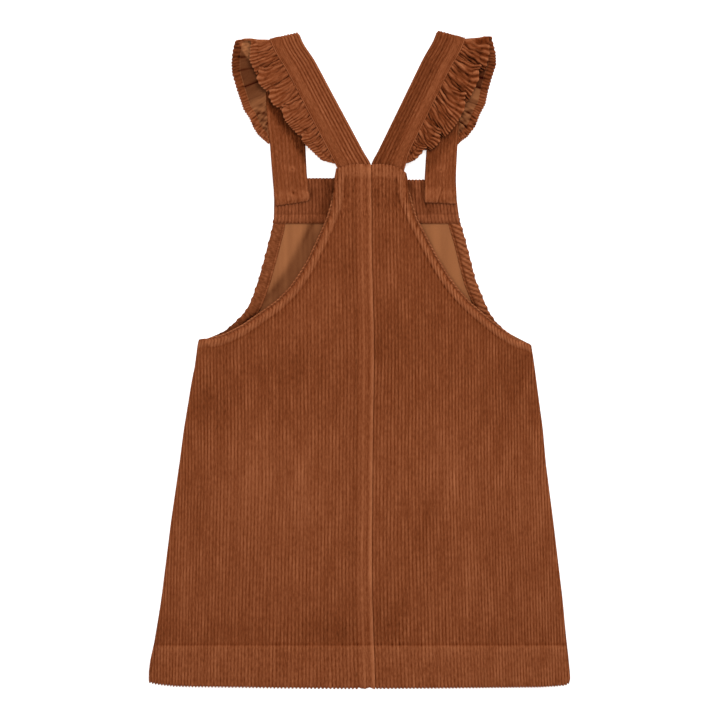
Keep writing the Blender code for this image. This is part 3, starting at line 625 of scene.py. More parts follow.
# Painted light and shade across the band at an armhole: distance from the back's own edge, glow
BAND_GLOW = [
    (0, -0.02), (1.2, -0.04), (2.4, 0.12), (4, 0.24), (6, 0.24), (7.2, 0.12), (8.4, -0.08),
    (10, -0.05), (12, -0.02), (16, 0),
]
BAND_SCALE = {"left": 1, "right": 0.9}   # the right band is a little narrower
LIP = 2.1            # the back's own edge lies this far inside the bias strip's lip
SIDE_SHARE = 0.2     # a side seam's rows lie this much closer to its edge

# Soft swells and hollows pressed into the back: x, y, half width, half height, rise
SWELLS = [
    (-97, -104, 16, 52, 0.55), (-49, -118, 11, 46, 0.6), (82, -92, 17, 48, 0.5),
    (28, 72, 20, 16, 0.35), (-33, 62, 15, 22, 0.3), (103, -190, 9, 34, 0.4),
    (-70, 34, 30, 10, 0.3), (60, -150, 14, 30, -0.35), (-145, -42, 20, 26, -0.45),
    (-25, -246, 24, 15, -0.45), (34, -232, 17, 26, -0.4), (142, -8, 20, 26, -0.45),
    (-150, -142, 11, 34, -0.4), (27, 8, 16, 34, -0.35), (-60, -5, 24, 18, -0.3),
    (-172, -267, 12, 5, 0.5), (-125, -269, 8, 10, 0.35), (75, -266, 10, 6, 0.5),
    (26, -268, 9, 7, 0.35), (182, -267, 6, 6, 0.4), (-70, -273, 11, 10, -0.3),
    (-165, -205, 7, 60, 0.35), (150, -128, 10, 40, 0.25), (-20, 88, 14, 20, -0.25),
]
# Lighter and darker patches, with the same columns, and painted light and shade in bands up the
# back: y, half height, glow
PATCHES = [(-128, -30, 20, 42, -0.04), (166, -130, 12, 42, 0.05), (-20, 149, 8, 9, 0.09)]
UP_THE_BACK = [(-100, 50, 0.06), (-35, 45, -0.035), (-140, 32, 0.035), (-252, 14, -0.09)]
CORNER_PATCH = {"left": (-142, 16.5), "right": (145, 17)}   # flattened cloth under each armhole

BODY_ROWS = 110      # of a half's grid, between its hem and its edges
FAR = 99             # stands for the distance of a row that isn't near an edge


def read_off(places, keys, rows):
    """Every column of some rows at places among their keys."""
    return np.stack([np.interp(places, keys, values) for values in rows.T], axis=-1)


def seam_x(y):
    return along(CENTRE_SEAM, y, 0, 1)


def spread(y):
    return 0.025 * np.maximum(0, SPREAD_FROM - y)


def to_table(distance, y):
    """Where a wale at a distance from the centre seam runs at a height on the dress."""
    share = np.minimum(np.abs(distance) / SPREAD_OVER, 1)
    return seam_x(y) + distance + np.sign(distance) * spread(y) * share


def to_wales(x, y):
    """The distance from the centre seam of the wale that runs through a point."""
    away = x - seam_x(y)
    near = away / (1 + spread(y) / SPREAD_OVER)
    return np.where(np.abs(near) < SPREAD_OVER, near, away - np.sign(away) * spread(y))


def inset(edge, distance):
    """An open edge moved sideways, to the right of the way it runs."""
    way = unit(np.gradient(edge[:, :2], axis=0))
    return edge[:, :2] + np.stack([way[:, 1], -way[:, 0]], axis=1) * np.reshape(distance, (-1, 1))


def finer(table, step):
    """A table's rows resampled evenly along its line and rounded a little."""
    rows = np.array(table, float)
    length = lengths(rows[:, :2])
    places = np.linspace(0, length[-1], max(3, int(length[-1] / step)))
    return smoothed(read_off(places, length, rows), 6)


def run_on(edge, reach):
    """An edge carried on straight past both of its ends."""
    first, last = unit(edge[0] - edge[1]), unit(edge[-1] - edge[-2])
    return np.concatenate([[edge[0] + first * reach], edge, [edge[-1] + last * reach]])


def lip_width(edge):
    """How far inside an armhole's line the back's own edge lies: it meets it at both ends."""
    return LIP * ease(lengths(edge[:, :2]), 30, 44) * (1 - ease(edge[:, 1], 150, 164))


def half_lines(side):
    """The lines a half is built on: distance from the centre seam, height, share of a wale."""
    sign, place = (-1, LAP[0][0]) if side == "left" else (1, 0.15)
    lines = []
    while abs(place) < WIDEST:
        width = along(WALE_WIDTHS[side], abs(place))
        tall = 1 + 0.1 * math.sin(len(lines) // len(WALE_SHAPE) * 2.7)
        for share, high in WALE_SHAPE:
            lines.append((place + sign * share * width, high * RELIEF * tall, high))
        place += sign * width
    if side == "left":
        return np.array(lines[:0:-1] + LAP)
    # The right half runs on a little under the left one's edge
    return np.array([(-0.5, -0.3, 0.5)] + lines)


def half_rows(side, place, share):
    """The rows of a half, from the hem up to its edges: y, wall, share of the wales' height, share
    of side, armhole and yoke in it, distance from the edge. Also how far along the armhole each
    line meets it."""
    left = side == "left"
    sign = 1 if left else -1
    edges = [run_on(finer([row[:2] for row in table], 2.5), 30)
             for table in (SIDES[side], ARMHOLES[side], YOKE_TOPS[side])]
    if not left:
        edges[2] = edges[2][::-1]

    def level(distance):
        """Where each line meets the edge moved in, the share of side, armhole and yoke in it, and
        how far along the armhole that is."""
        heights = []
        for number, edge in enumerate(edges):
            wider = BAND_SCALE[side] * (1 + 0.3 * ease(edge[:, 1], 122, 155))
            into = distance * (SIDE_SHARE, wider, 1)[number]
            moved = inset(edge, (into + (lip_width(edge) if number == 1 else 0)) * sign)
            at = to_wales(moved[:, 0], moved[:, 1])
            order = np.argsort(at)
            reach = np.interp(place, at[order], moved[order, 1])
            # Past its end towards the middle an edge has given way to the next one
            inner = (place - (at.max() if left else at.min())) * sign > 0
            heights.append(np.where(inner & (number < 2), 999, reach))
            if number == 1:
                gone = np.interp(place, at[order], lengths(edge)[order])
        lowest = np.min(heights, axis=0)
        weight = np.exp(-np.minimum(heights - lowest, 60) / 1.2)
        return lowest, weight / weight.sum(axis=0), gone

    bottom = along(HEM_LINE, to_table(place, -300)) + 1.5
    teeth = 1.9 * share ** 1.6
    none = np.zeros((3, len(place)))
    rows = [(bottom + lift - teeth * (lift < 1), wall, tall, none, FAR)
            for lift, wall, tall in HEM_EDGE]
    rows += [(HEM_STITCH + lift, wall, tall, none, FAR) for lift, wall, tall in HEM_BAND]
    start = HEM_STITCH + HEM_BAND[-1][0]
    ends = level(EDGE_ROWS[0][0])[0]
    for step in range(1, BODY_ROWS):
        rise = 1 - (1 - step / BODY_ROWS) ** 1.4
        rows.append((start + (ends - start) * rise, 1.6, 1, none, FAR))
    for distance, *values in EDGE_ROWS:
        reach, zones, gone = level(distance)
        wall, tall = np.reshape(values, (3, 2)).T @ zones
        rows.append((reach, wall, tall, zones, distance))

    y, thick, tall = (
        np.array([np.broadcast_to(row[i], place.shape) for row in rows]) for i in range(3))
    zone = np.array([row[3] for row in rows])
    away = np.array([[row[4]] for row in rows])
    least = np.minimum(0.12, (y[-1] - y[0]) / (2 * len(rows)))
    for row in range(1, len(rows) - 1):
        y[row] = np.maximum(y[row], y[row - 1] + least)
    for row in range(len(rows) - 2, 0, -1):
        y[row] = np.minimum(y[row], y[row + 1] - least)
    return y, thick, tall, zone, away, gone


def back_half(side):
    left = side == "left"
    sign = 1 if left else -1
    lines = half_lines(side)
    widest = np.abs(to_wales(*SIDES[side][0]))
    place, relief, share = lines[np.abs(lines[:, 0]) < widest - 0.2].T
    y, thick, tall, zone, away, gone = half_rows(side, place, share)
    x = to_table(place[None], y)
    seam, arm, top_band = (zone[:, i] for i in range(3))

    # The band round an armhole is puckered: its wales slant towards the yoke up the band, and
    # where it climbs the yoke it is drawn into long wedges
    band = arm * ease(8.6 - away, 0, 1.5) * ease(away, 0, 2.5)
    steep = ease(y, 95, 140)
    wedge = np.sin(2 * math.pi * (gone - 0.9 * away) / 10.5 + 1.1 * np.sin(gone / 7))
    thick += band * (0.1 + 0.6 * wedge * (0.2 + 0.8 * steep))
    # The band's stitches sink in between the wales, least near the side seam
    stitch = arm * bell(away, 8, 0.9) * (1 - share) * ease(gone, 20, 90)
    stitch *= (0.4 if left else 1) * (1 - 0.65 * steep)
    thick -= 0.55 * stitch
    slant = arm * 0.3 * np.clip(8 - away, 0, 8) * np.minimum(1, away / 2.5) * (1 - 0.6 * steep)
    x += slant * 0.75 * sign
    y += slant * 0.5

    # What lies below raises the edges: bias strips at the armholes, straps under the yoke
    near = ease(22 - away, 0, 14)
    free = 1 - near
    edge_z = seam * 1.95 + arm * (along(ARMHOLES[side], x, 2) + 1.5) + top_band * 4
    inside = along(BACK_INSIDE, y)
    inside += np.maximum(edge_z - inside, 0) * near
    hem_free = ease(y, HEM_STITCH, HEM_STITCH + 14)
    inside -= np.maximum(inside - 1.95, 0) * seam * near * hem_free
    calm_hem = ease(y, HEM_STITCH + 4, HEM_STITCH + 50)
    swell = 0.6 + 1.6 * bell(y, -170, 62) * (1 - 0.3 * ease(np.abs(x), 90, 190))
    swell += 0.45 * (1 + drift(x / 42, y / 75, 0.6)) + 0.2 * (1 + drift(x / 15, y / 60, 2.6))
    pressed = spots(SWELLS, x, y, 0.35)
    inside += np.maximum(swell + pressed, 0) * free * calm_hem * ease(150 - y, 0, 60)

    number = np.cumsum(np.concatenate([[0], np.diff(share) > 0.5]))
    own = 0.5 * np.sin(number * 2.399) + 0.5 * np.sin(number * 5.13 + y / 47)
    uneven = 1 + 0.12 * own + 0.2 * drift(place * 1.9, y / 9, 4)
    uneven += 0.18 * drift(place * 0.7, y / 3.4, 1.2)
    wander = 0.24 * drift(place / 9, y / 26, 0.3) + 0.14 * drift(place / 2.5, y / 9, 2)
    x += wander * free + along(SEAM_WANDER, y) * bell(place, 0, 45)
    top = gridded(x, y, inside + thick + relief * tall * uneven)

    # Painted light and shade: the puffed bands, the lap and the swells catch the light, the
    # stitching and the cloth beside the lap lie in shade
    lit = along(BAND_GLOW, away) * (0.3 + 0.7 * ease(gone, 6, 60) if left else 1)
    climbed = ease(gone, 6, 48) if left else ease(gone, 0, 28)
    puckered = (0.06 + 0.24 * steep) * wedge
    puckered += (0.11 if left else 0.14) * (1 - steep) * (2 * climbed - 1)
    puckered += (0.14 if left else 0.24) * (share - 0.45) * (1 - 0.5 * steep)
    glow = arm * (lit + 0.8 * steep * np.maximum(lit, 0)) + band * puckered - 0.4 * stitch
    glow += top_band * (0.3 * ease(12.5 - away, 0, 2) - 0.06 * bell(away, 9, 0.8))
    # Painted shade where the yoke's top edge is drawn in between the wales by the seam that holds
    # the straps
    glow -= 0.45 * top_band * (1 - share) * bell(away, 0, 1.8)
    yoke = ease(y, 133, 141) * (1 - top_band)
    across = 0.1 + ease(np.abs(x - 10), 16, 28) * (0.04 + 0.06 * wave(x / 3.3))
    glow += across * bell(y, 140.3, 3) - 0.02 * yoke + (0.28 * pressed + 0.06 * own) * free
    at_x, at_y = CORNER_PATCH[side]
    flat_corner = bell(x, at_x, 9) * bell(y + 0.35 * (np.abs(x) - 143), at_y, 6)
    glow += 0.07 * flat_corner + spots(PATCHES, x, y)
    glow += sum(light * bell(y, at, tall) for at, tall, light in UP_THE_BACK)
    glow += 0.04 * ease(y, -120, -200) - 0.03 * ease(y, 0, 40)
    glow += 0.01 * ease(x, 130, 170) + 0.04 * ease(x, 20, 60) * ease(y, -180, -230)
    # Painted light on the turned hem below its stitching, most just under the stitching, where the
    # hem slopes up towards the light
    up = y - HEM_STITCH
    below = 1 - ease(up, -1.6, -0.2)
    glow += below * (0.03 + 0.04 * ease(x, 0, 60) + 0.12 * np.exp(up / 7))
    # Painted shade where the hem's stitches draw the cloth in between the wales and just above
    # them, with painted light just below, more in some places than in others
    drawn = 0.6 + 0.4 * drift(x / 14, 0, 0.9)
    glow += drawn * (0.1 * bell(up, -1.7, 1) - 0.45 * (1 - share) * bell(up, 0.1, 0.8))
    glow -= (1 - below) * 0.05 * np.exp(-up / 6) * (up > -2)
    if left:
        glow += 0.13 * ease(place, -15, -13.5) + 0.42 * ease(place, -3.6, -1.6)
        glow += 0.14 * bell(place, -9, 1.2) - 0.1 * bell(place, -16, 2)
        glow -= 0.06 * ease(-x, 150, 175)
    else:
        glow -= 0.02 + 0.16 * ease(place, 2, 0.5) + 0.13 * yoke
    rib = share * np.minimum(1, tall) * (1 + 0.25 * drift(place * 0.45, y / 13, 2.2))
    strong = (1.04 if left else 1.14) - 0.17 * ease(y, -30, 40)
    rib = 0.5 + (rib + 0.2 * flat_corner - 0.5) * strong
    nap = 0.45 * ease(y, 118, 136) + 0.25 * below
    edge_rows = len(y) - len(EDGE_ROWS) - 1
    kept_rows = [*range(0, edge_rows, 4), *range(edge_rows, len(y))]
    piece = shell(
        "back_" + side + "_cloth", top, gridded(x, y, inside), gridded(place, y),
        {"rib": rib, "glow": (glow, 0.0), "nap": nap}, [corduroy, corduroy_back], 5, kept_rows,
    )
    fit(piece, "back_" + side)


back_half("left")
back_half("right")


# ---- Bias strips of the back armholes -----------------------------------------------------
# A bias strip is sewn to each back armhole and turned inside. It rolls out past the edge as a thin
# corded lip, which the wales cross as small beads.

# Across the strip: distance inside the edge, height of its top above its underside, share of wales
LIP_ROWS = [
    (0.1, 0.4, 0.3), (0.2, 1, 0.7), (0.55, 1.6, 1), (1.1, 1.95, 1), (1.6, 1.75, 0.8),
    (2.1, 1.2, 0.3), (4.5, 0.6, 0), (9.2, 0.5, 0),
]


def back_bias(side):
    left = side == "left"
    edge = finer([row for row in ARMHOLES[side] if row[1] < 166 and abs(row[0]) < 146], 0.45)
    length = lengths(edge[:, :2])
    hidden = np.maximum(1 - ease(length, 0, 12), ease(edge[:, 1], 150, 162))
    top, under, rib = [], [], []
    for distance, lift, tall in LIP_ROWS:
        bead = wave((length - distance * 0.9) / 3.7) * tall * (0.75 + 0.25 * np.sin(length / 5.3))
        shift = distance + 1.6 * hidden * (distance < 4) - 0.25 * bead * (distance < 2)
        place = inset(edge, shift if left else -shift)
        low = edge[:, 2] + 0.25 * (distance < 1)
        top.append(np.column_stack([place, low + lift * (1 - 0.5 * hidden) + 0.55 * bead]))
        under.append(np.column_stack([place, low]))
        rib.append(bead)
    rib = np.array(rib)
    # Painted light along the lip, stronger on its beads and on the left near its lower end
    lit = 0.06 + 0.14 * ease(length, 70, 40) if left else 0.14
    piece = shell(
        "back_armhole_" + side + "_cloth", np.array(top), np.array(under),
        gridded(length, upright(LIP_ROWS)[0]),
        {"rib": 0.35 + 0.65 * rib, "glow": lit + 0.3 * rib},
        [corduroy_bias_lit, corduroy_back], every=5,
    )
    fit(piece, "back_armhole_facing_" + side)


back_bias("left")
back_bias("right")


# ---- Straps -------------------------------------------------------------------------------
# Each strap is a strip of corduroy folded lengthwise over itself, so that it is ribbed on both
# faces, with a smooth flat strip beside the ruffle's seam and two rows of fine stitching in it. It
# leaves the yoke, folds over at the shoulder and is sewn to the bib under a turned, puffed end.

# From the yoke to the shoulder: inner x, y, outer x, y, height of the middle of the wall, its wall
STRAP_BACKS = {"left": [
    (10.5, 166, -15.8, 166, 5.25, 2.4), (10.5, 179, -21.8, 179, 5.25, 2.4),
    (3.5, 191.6, -26, 187, 5.1, 2.4), (-6, 209.4, -31.5, 197.7, 4.5, 2.4),
    (-24, 243, -48.6, 230.5, 4, 2.4), (-40.5, 273.9, -65.5, 263.1, 4.3, 2.4),
    (-54.4, 298.1, -81.5, 292.2, 4.45, 2.4),
], "right": [
    (11.3, 166, 39.4, 166, 5.25, 2.4), (11.3, 179.5, 42.9, 179.5, 5.25, 2.4),
    (17.5, 192, 45.5, 189, 5.1, 2.4), (27, 211.5, 51.2, 201.5, 4.5, 2.4),
    (42.5, 243.4, 66.7, 232.9, 4, 2.4), (58, 275.3, 82.5, 265.2, 4.3, 2.4),
    (70.6, 300, 96.8, 293.1, 4.45, 2.4),
]}

# From the shoulder to the end on the bib, with the same columns
STRAP_FRONTS = {"left": [
    (-54.5, 298, -82.4, 292, 1.2, 2.4), (-53, 270, -85, 266, 1.2, 2.4),
    (-51.7, 243, -85.8, 241, 1.2, 2.4), (-50.5, 218, -84.6, 217, 1.2, 2.4),
    (-49.6, 196, -82.2, 196, 1.3, 2.4), (-48.8, 182, -81.1, 182, 3.2, 2.4),
    (-48, 168.5, -79.9, 168.5, 5.2, 2.4), (-46.9, 158.5, -78.9, 157, 5.2, 2.4),
    (-46.8, 155.5, -78.5, 152.4, 5.1, 2.2), (-45.9, 152.6, -78.1, 148.9, 5.3, 2.7),
    (-45.5, 149.7, -77.5, 145.4, 5.2, 2.5), (-46.2, 146.8, -77, 142.4, 4.8, 1.7),
    (-47.2, 145.6, -76.6, 141.1, 4.4, 0.9),
], "right": [
    (70.6, 299.8, 96.5, 293, 1.2, 2.4), (68.4, 270, 94.8, 266, 1.2, 2.4),
    (66.2, 243, 93.2, 241, 1.2, 2.4), (64, 218, 91.6, 217, 1.2, 2.4),
    (62, 196, 90.4, 196, 1.3, 2.4), (61, 182, 89.6, 182, 3.2, 2.4),
    (60.2, 168.5, 89, 168.5, 5.2, 2.4), (60, 157, 89, 157, 5.2, 2.4),
    (60, 152.5, 89.2, 153, 5.3, 2.6), (60, 147.4, 89.5, 146.4, 5.3, 2.6),
    (60.1, 145.4, 89.6, 144, 4.9, 1.9), (60.2, 144.6, 89.7, 143, 4.5, 1),
]}

# Across the face: share of the width from the inner edge, height, share of a wale
STRAP_FACE = [
    (0, 0, 0.3), (0.012, 0.55, 0.5), (0.03, 0.9, 1), (0.05, 0.95, 1), (0.07, 0.7, 0.8),
    (0.084, 0.2, 0.1), (0.092, 0.15, 0), (0.108, 0.6, 0.7), (0.13, 0.95, 1), (0.152, 0.95, 1),
    (0.174, 0.6, 0.7), (0.19, 0.1, 0), (0.202, 0.1, 0), (0.222, 0.7, 0.8), (0.245, 1, 1),
    (0.268, 0.9, 1), (0.288, 0.4, 0.5), (0.302, 0, 0), (0.318, 0.4, 0.5), (0.342, 0.9, 1),
    (0.366, 1, 1), (0.388, 0.75, 0.8), (0.404, 0.2, 0.1), (0.416, 0.12, 0), (0.434, 0.6, 0.7),
    (0.458, 0.95, 1), (0.482, 0.9, 1), (0.502, 0.45, 0.5), (0.516, 0.1, 0), (0.532, 0.4, 0.5),
    (0.554, 0.85, 1), (0.578, 0.9, 1), (0.6, 0.7, 0.8), (0.618, 0.3, 0.3), (0.63, 0.25, 0.2),
    (0.646, 0.55, 0.6), (0.668, 0.8, 0.9), (0.69, 0.85, 0.9), (0.716, 0.7, 0.8),
    (0.77, 0.62, 0.75), (0.81, 0.66, 0.8), (0.85, 0.62, 0.75), (0.88, 0.56, 0.7),
    (0.893, 0.36, 0.4), (0.901, 0.36, 0.4), (0.914, 0.58, 0.75), (0.93, 0.56, 0.7),
    (0.94, 0.26, 0.2), (0.948, 0.26, 0.2), (0.96, 0.7, 0.9), (0.976, 0.95, 1), (0.991, 0.85, 1),
    (1, 0.2, 0.6),
]
STRAP_RELIEF = {"left": 0.85, "right": 0.62}
CORNER = {"left": 1.3, "right": 0.9}   # radius of the fold's inner corner
UNDER_WALES = 9      # wales across a strap's other face
STEP = 1.2           # between sections
# The free edge of the ruffle over a strap's front run: where it passes y 200, its outward side
# across the line, how much it shades
STRAP_SHADE = {"left": (-56, (0.83, 0.555), 0.52), "right": (79, (-0.8, 0.6), 0.25)}

# A small tack of thread on each strap, and puffs and hollows at its end: x, y, half width, half
# height, rise
STRAP_MARKS = {"left": [
    (-61.6, 174.7, 2.4, 2.2, 0.8), (-61.6, 174.7, 1.1, 1.1, -1.2), (-63.3, 149.2, 4.2, 2.8, 0.22),
    (-51.3, 149.8, 4, 3.2, 0.24), (-57.5, 149, 1, 4, -0.16), (-60.5, 152.9, 1.2, 1, -0.55),
], "right": [
    (75, 174.2, 2.3, 2.1, 0.6), (75, 174.2, 1.1, 1.1, -1), (85.5, 144.2, 4.2, 0.8, 0.4),
    (80, 151, 4, 3, 0.16),
]}


def facing(grid):
    """The direction out of each point of a grid, along its rows and columns."""
    return unit(np.cross(np.gradient(grid, axis=1), np.gradient(grid, axis=0)))


def smooth_rows(rows):
    """Rows of a table put closer together on smooth curves through them."""
    rows = np.array(rows, float)
    length = lengths((rows[:, 0:3] + rows[:, 3:6]) / 2)
    slope = np.gradient(rows, length, axis=0)
    places = np.linspace(0, length[-1], int(length[-1] / STEP))
    at = np.clip(np.searchsorted(length, places, side="right") - 1, 0, len(length) - 2)
    gap = (length[at + 1] - length[at])[:, None]
    t = (places[:, None] - length[at][:, None]) / gap
    bent = slope[at] * (t ** 3 - 2 * t ** 2 + t) + slope[at + 1] * (t ** 3 - t ** 2)
    return rows[at] + (rows[at + 1] - rows[at]) * (3 * t ** 2 - 2 * t ** 3) + gap * bent


def roll(last, first, degrees, starts, out):
    """Rows round the fold at the shoulder, between the last row above it and the first below.
    Each point's x, y and z are in three columns from one of the starts."""
    low = first[starts[0] + 2]
    radius = (last[starts[0] + 2] - low) / 2
    rows = []
    for turn in np.radians(degrees):
        made = last + (first - last) * (1 - math.sin(turn)) / 2
        for start in starts:
            made[start:start + 2] += np.array(out) * radius * math.cos(turn)
            made[start + 2] = low + radius * (1 + math.sin(turn))
        rows.append(made)
    return rows


def over_the_fold(side):
    """A strap's sections from the yoke over the shoulder to the bib: inner x, y, z, outer x, y, z,
    wall. Also how many of them lie before the shoulder."""
    order = [0, 1, 4, 2, 3, 4, 5]
    back, front = (np.array(runs[side], float)[:, order] for runs in (STRAP_BACKS, STRAP_FRONTS))
    across = back[-1, 3:5] - back[-1, 0:2]
    out = unit(np.array([-across[1], across[0]]))
    out = out if out[1] > 0 else -out
    fold = roll(back[-1], front[0], (60, 28, 0, -28, -60), (0, 3), out)
    rows = smooth_rows([*back, *fold, *front])
    highest = np.argmax(rows[:, 1] + rows[:, 4])
    # The inner corner of the fold is rounded
    radius = CORNER[side]
    for number in range(highest - 5, highest + 6):
        off = max(0, abs(number - highest) * STEP - 1.8) / radius
        if off < 1:
            pull = radius * (1 - math.sqrt(1 - (1 - off) ** 2))
            rows[number, 0:2] += unit(rows[number, 3:5] - rows[number, 0:2]) * pull
    return rows, len(smooth_rows(back))


def strap(side):
    left = side == "left"
    sections, turned = over_the_fold(side)
    share, lift, wale = np.array(STRAP_FACE, float).T
    inner, outer = sections[:, None, 0:3], sections[:, None, 3:6]
    middle = inner + (outer - inner) * share[None, :, None]
    out = facing(middle)
    out = out if out[2, 4, 2] > 0 else -out
    half = sections[:, 6:7] / 2
    count = np.arange(len(sections))[:, None]
    length = lengths(middle[:, 20])[:, None]
    to_end = length[-1] - length
    ended = 1 - ease(to_end, 10.5, 16)
    uneven = 1 + 0.2 * drift(share * 26, length / 14, 1) + 0.14 * drift(share * 9, length / 6, 2)
    soft = 0.5 * (1 - np.minimum(ease(share, 0, 0.03), ease(1 - share, 0, 0.03)))
    sway = 0.5 * drift(share * 3, length / 45, 0.2) + 0.25 * drift(share * 11, length / 11, 1.2)
    other = (0.5 - 0.5 * np.cos(2 * math.pi * UNDER_WALES * share + sway)) ** 0.7
    puff = 0.4 * np.cos(share * 21 + 1.6 * np.sin(length / 2.6)) * ended
    puff *= np.cos(to_end / 2.4 + share * 5)
    row = bell(to_end, 1.9, 0.7)
    thread = np.cos(2 * math.pi * share * 33 / 2.4)
    puff = (puff - 0.45 * row * (0.6 + 0.4 * thread)) * ease(to_end, 0, 1.2)
    x, y = middle[:, :, 0], middle[:, :, 1]
    fallen = count > turned + 6
    marks = spots(STRAP_MARKS[side], x, y) * fallen
    puff += 0.5 * marks
    if not left:
        # One corner of the end is folded under aslant, and stands over the rest
        bent = 0.37 + 0.17 * to_end / 14.3 - share
        flap = ended * ease(bent, -0.03, 0)
        slit = ended * bell(bent, -0.035, 0.025)
        puff = puff * (1 - 0.6 * flap) + 0.3 * flap - 0.35 * slit
    above = half - soft + STRAP_RELIEF[side] * lift * uneven
    below = half - soft + 0.5 * other * (1 - 0.45 * ended) * uneven + puff
    top = middle + out * above[:, :, None]
    under = middle - out * below[:, :, None]
    for grid in (top, under):
        grid[:, :, 2] = np.maximum(grid[:, :, 2], 0)

    own = np.sin(np.floor(share * 10.4) * 2.4 + length / 60)
    glow = 0.07 * drift(share * 14, length / 22, 1.5) + 0.07 * own * (share < 0.62)
    glow -= 0.04 if left else 0.2 * ease(share, 0.72, 0.45) + 0.06
    # Painted highlight on the ridge by the ruffle's seam, painted shade where the strap leaves the
    # yoke
    glow += 0.05 * (share > 0.7) + 0.34 * bell(share, 0.985, 0.014) - 0.2 * ease(count, 9, 0)
    glow -= 0.24 * (bell(share, 0.897, 0.008) + bell(share, 0.944, 0.008))
    if left:
        glow += (share < 0.64) * (0.05 + 0.3 * (wale - 0.6) * (1 + 0.5 * own))
    dim = 1 if left else 1 - ease(share, 0.45, 0.6)
    # Painted light on the end and its puffs, and on the right one's folded corner, with painted
    # shade in the slit beside that corner
    other_glow = 0.1 * drift(share * 16, length / 16, 0.5) - 0.05 + 0.3 * puff
    other_glow += (0.15 if left else 0.12) * ended
    other_glow += row * (0.07 * (1 - thread) - 0.15 * dim * (1 + thread))
    if not left:
        other_glow += 0.06 * flap - 0.3 * slit + 0.22 * ended * bell(bent, 0.01, 0.02)
    # The ruffle above casts painted shade on the strap's front run along its free edge, and the
    # marks get painted light on their puffs and painted shade in their hollows
    reach, slant, deep = STRAP_SHADE[side]
    gap = (x - reach) * slant[0] + (y - 200) * slant[1]
    other_glow += marks - deep * ease(gap, -9, -1.5) * (1 - 0.5 * ease(gap, 6, 16)) * fallen
    piece = shell(
        "strap_" + side + "_cloth", top, under, gridded(share * 30, length),
        {"rib": (wale, 0.25 + 0.7 * other), "glow": (glow, other_glow)}, [corduroy, corduroy],
    )
    fit(piece, "strap_" + side)
    return sections


strap_sections = {side: strap(side) for side in ("left", "right")}


# ---- Ruffles ------------------------------------------------------------------------------
# A strip of corduroy, wales across it, hemmed along its free edge and gathered into the outer seam
# of each strap. Tight puckers leave the seam, run together into lobes and lap over one another at
# the edge. Past the shoulder the ruffle lies wrong side up, with its turned hem showing.

# Free edges, from the yoke to the shoulder: distance along the seam, x, y, z. Each low z is a nick
# between two lobes.
RUFFLE_BACKS = {"left": [
    (1, -26.6, 181, 5), (6.8, -34.3, 183.1, 5.2), (14.6, -41.7, 190.1, 4.7),
    (23.9, -49, 197.2, 4.8), (31.5, -53, 202.2, 6.4), (34.3, -54.6, 205.6, 4.9),
    (45.7, -62, 212.8, 6.4), (57.1, -67.9, 219.8, 7), (65, -71, 227.6, 6.8), (67.5, -72, 231, 5),
    (75.2, -78.8, 234, 7), (81.5, -83.2, 241.5, 6.9), (84.6, -84, 246.4, 5.2),
    (94.9, -90.4, 251.7, 7), (101, -94.4, 258, 6.9), (103.7, -94.6, 262.6, 5.5),
    (114.1, -100.4, 274.7, 7.1), (122, -99.9, 285, 7.1), (127.4, -99, 291.8, 6.7),
], "right": [
    (1, 45.6, 180.6, 5), (8.8, 51.4, 183.6, 5.2), (18, 59.2, 191.8, 4.6), (20.5, 60.6, 192.4, 4.9),
    (25.9, 65.5, 192.8, 6.2), (35.4, 71.7, 197.7, 6.6), (41, 74.6, 202, 6.4),
    (43.6, 74.7, 205.2, 4.9), (51.8, 79.8, 206, 6.9), (63.1, 87.5, 214.4, 7),
    (73.4, 93.6, 224.8, 7), (79, 97.6, 232.4, 6.8), (81.5, 97.8, 236.2, 5.2),
    (88.8, 101.8, 241.4, 7), (97.9, 106.9, 251.9, 7), (104, 110.6, 260.2, 6.9),
    (106.7, 110.6, 264.2, 5.5), (113.3, 116.1, 268, 7), (119.5, 119.1, 281, 7.1),
    (125, 118.6, 294.2, 6.7),
]}

# Free edges, from the shoulder down the front, with the same columns
RUFFLE_FRONTS = {"left": [
    (132.6, -114.4, 291.6, 1.9), (139, -116.4, 282, 1.7), (144, -117.2, 273.6, 1.6),
    (154, -116.6, 263.4, 2.5), (164.3, -112.6, 249.6, 1.6), (174.5, -109.2, 239.5, 2.5),
    (184.6, -106.2, 230.3, 1.6), (192.9, -100.9, 222.5, 2.4), (202.1, -97.2, 213.8, 1.6),
    (212.3, -92.8, 206.9, 2), (219, -88.6, 202.8, 1.6), (227, -83.6, 198.2, 1.5),
], "right": [
    (130.2, 122, 294.4, 1.9), (138.1, 125.2, 281.8, 1.7), (147.3, 125.6, 271.7, 1.6),
    (158.3, 121.4, 258.8, 2.5), (169.4, 117.9, 246, 1.6), (180.5, 115.6, 234.9, 2.5),
    (190.6, 110.6, 225.7, 1.6), (200.8, 106.4, 214.7, 2.4), (211.8, 99.4, 205.5, 1.6),
    (219.5, 94.2, 201.4, 1.6), (227, 90.6, 197.6, 1.5),
]}

# Down the front the ruffle lies wrong side up in flat pads with creases between. How much painted
# shade each part gets, deepest where the back run lies over it, and the creases: distance along
# the seam, value
PADS = {"left": [
    (128, -0.55), (138, -0.62), (142, -0.72), (160, -0.76), (172, -0.7), (178, -0.56), (184, -0.3),
    (190, -0.22), (194, -0.46), (200, -0.42), (206, -0.26), (214, -0.36), (222, -0.42),
], "right": [
    (126, -0.45), (134, -0.6), (140, -0.82), (160, -0.88), (168.5, -0.8), (170.5, -0.2),
    (179, -0.18), (181.5, -0.55), (184, -0.3), (192, -0.3), (200, -0.36), (222, -0.4),
]}
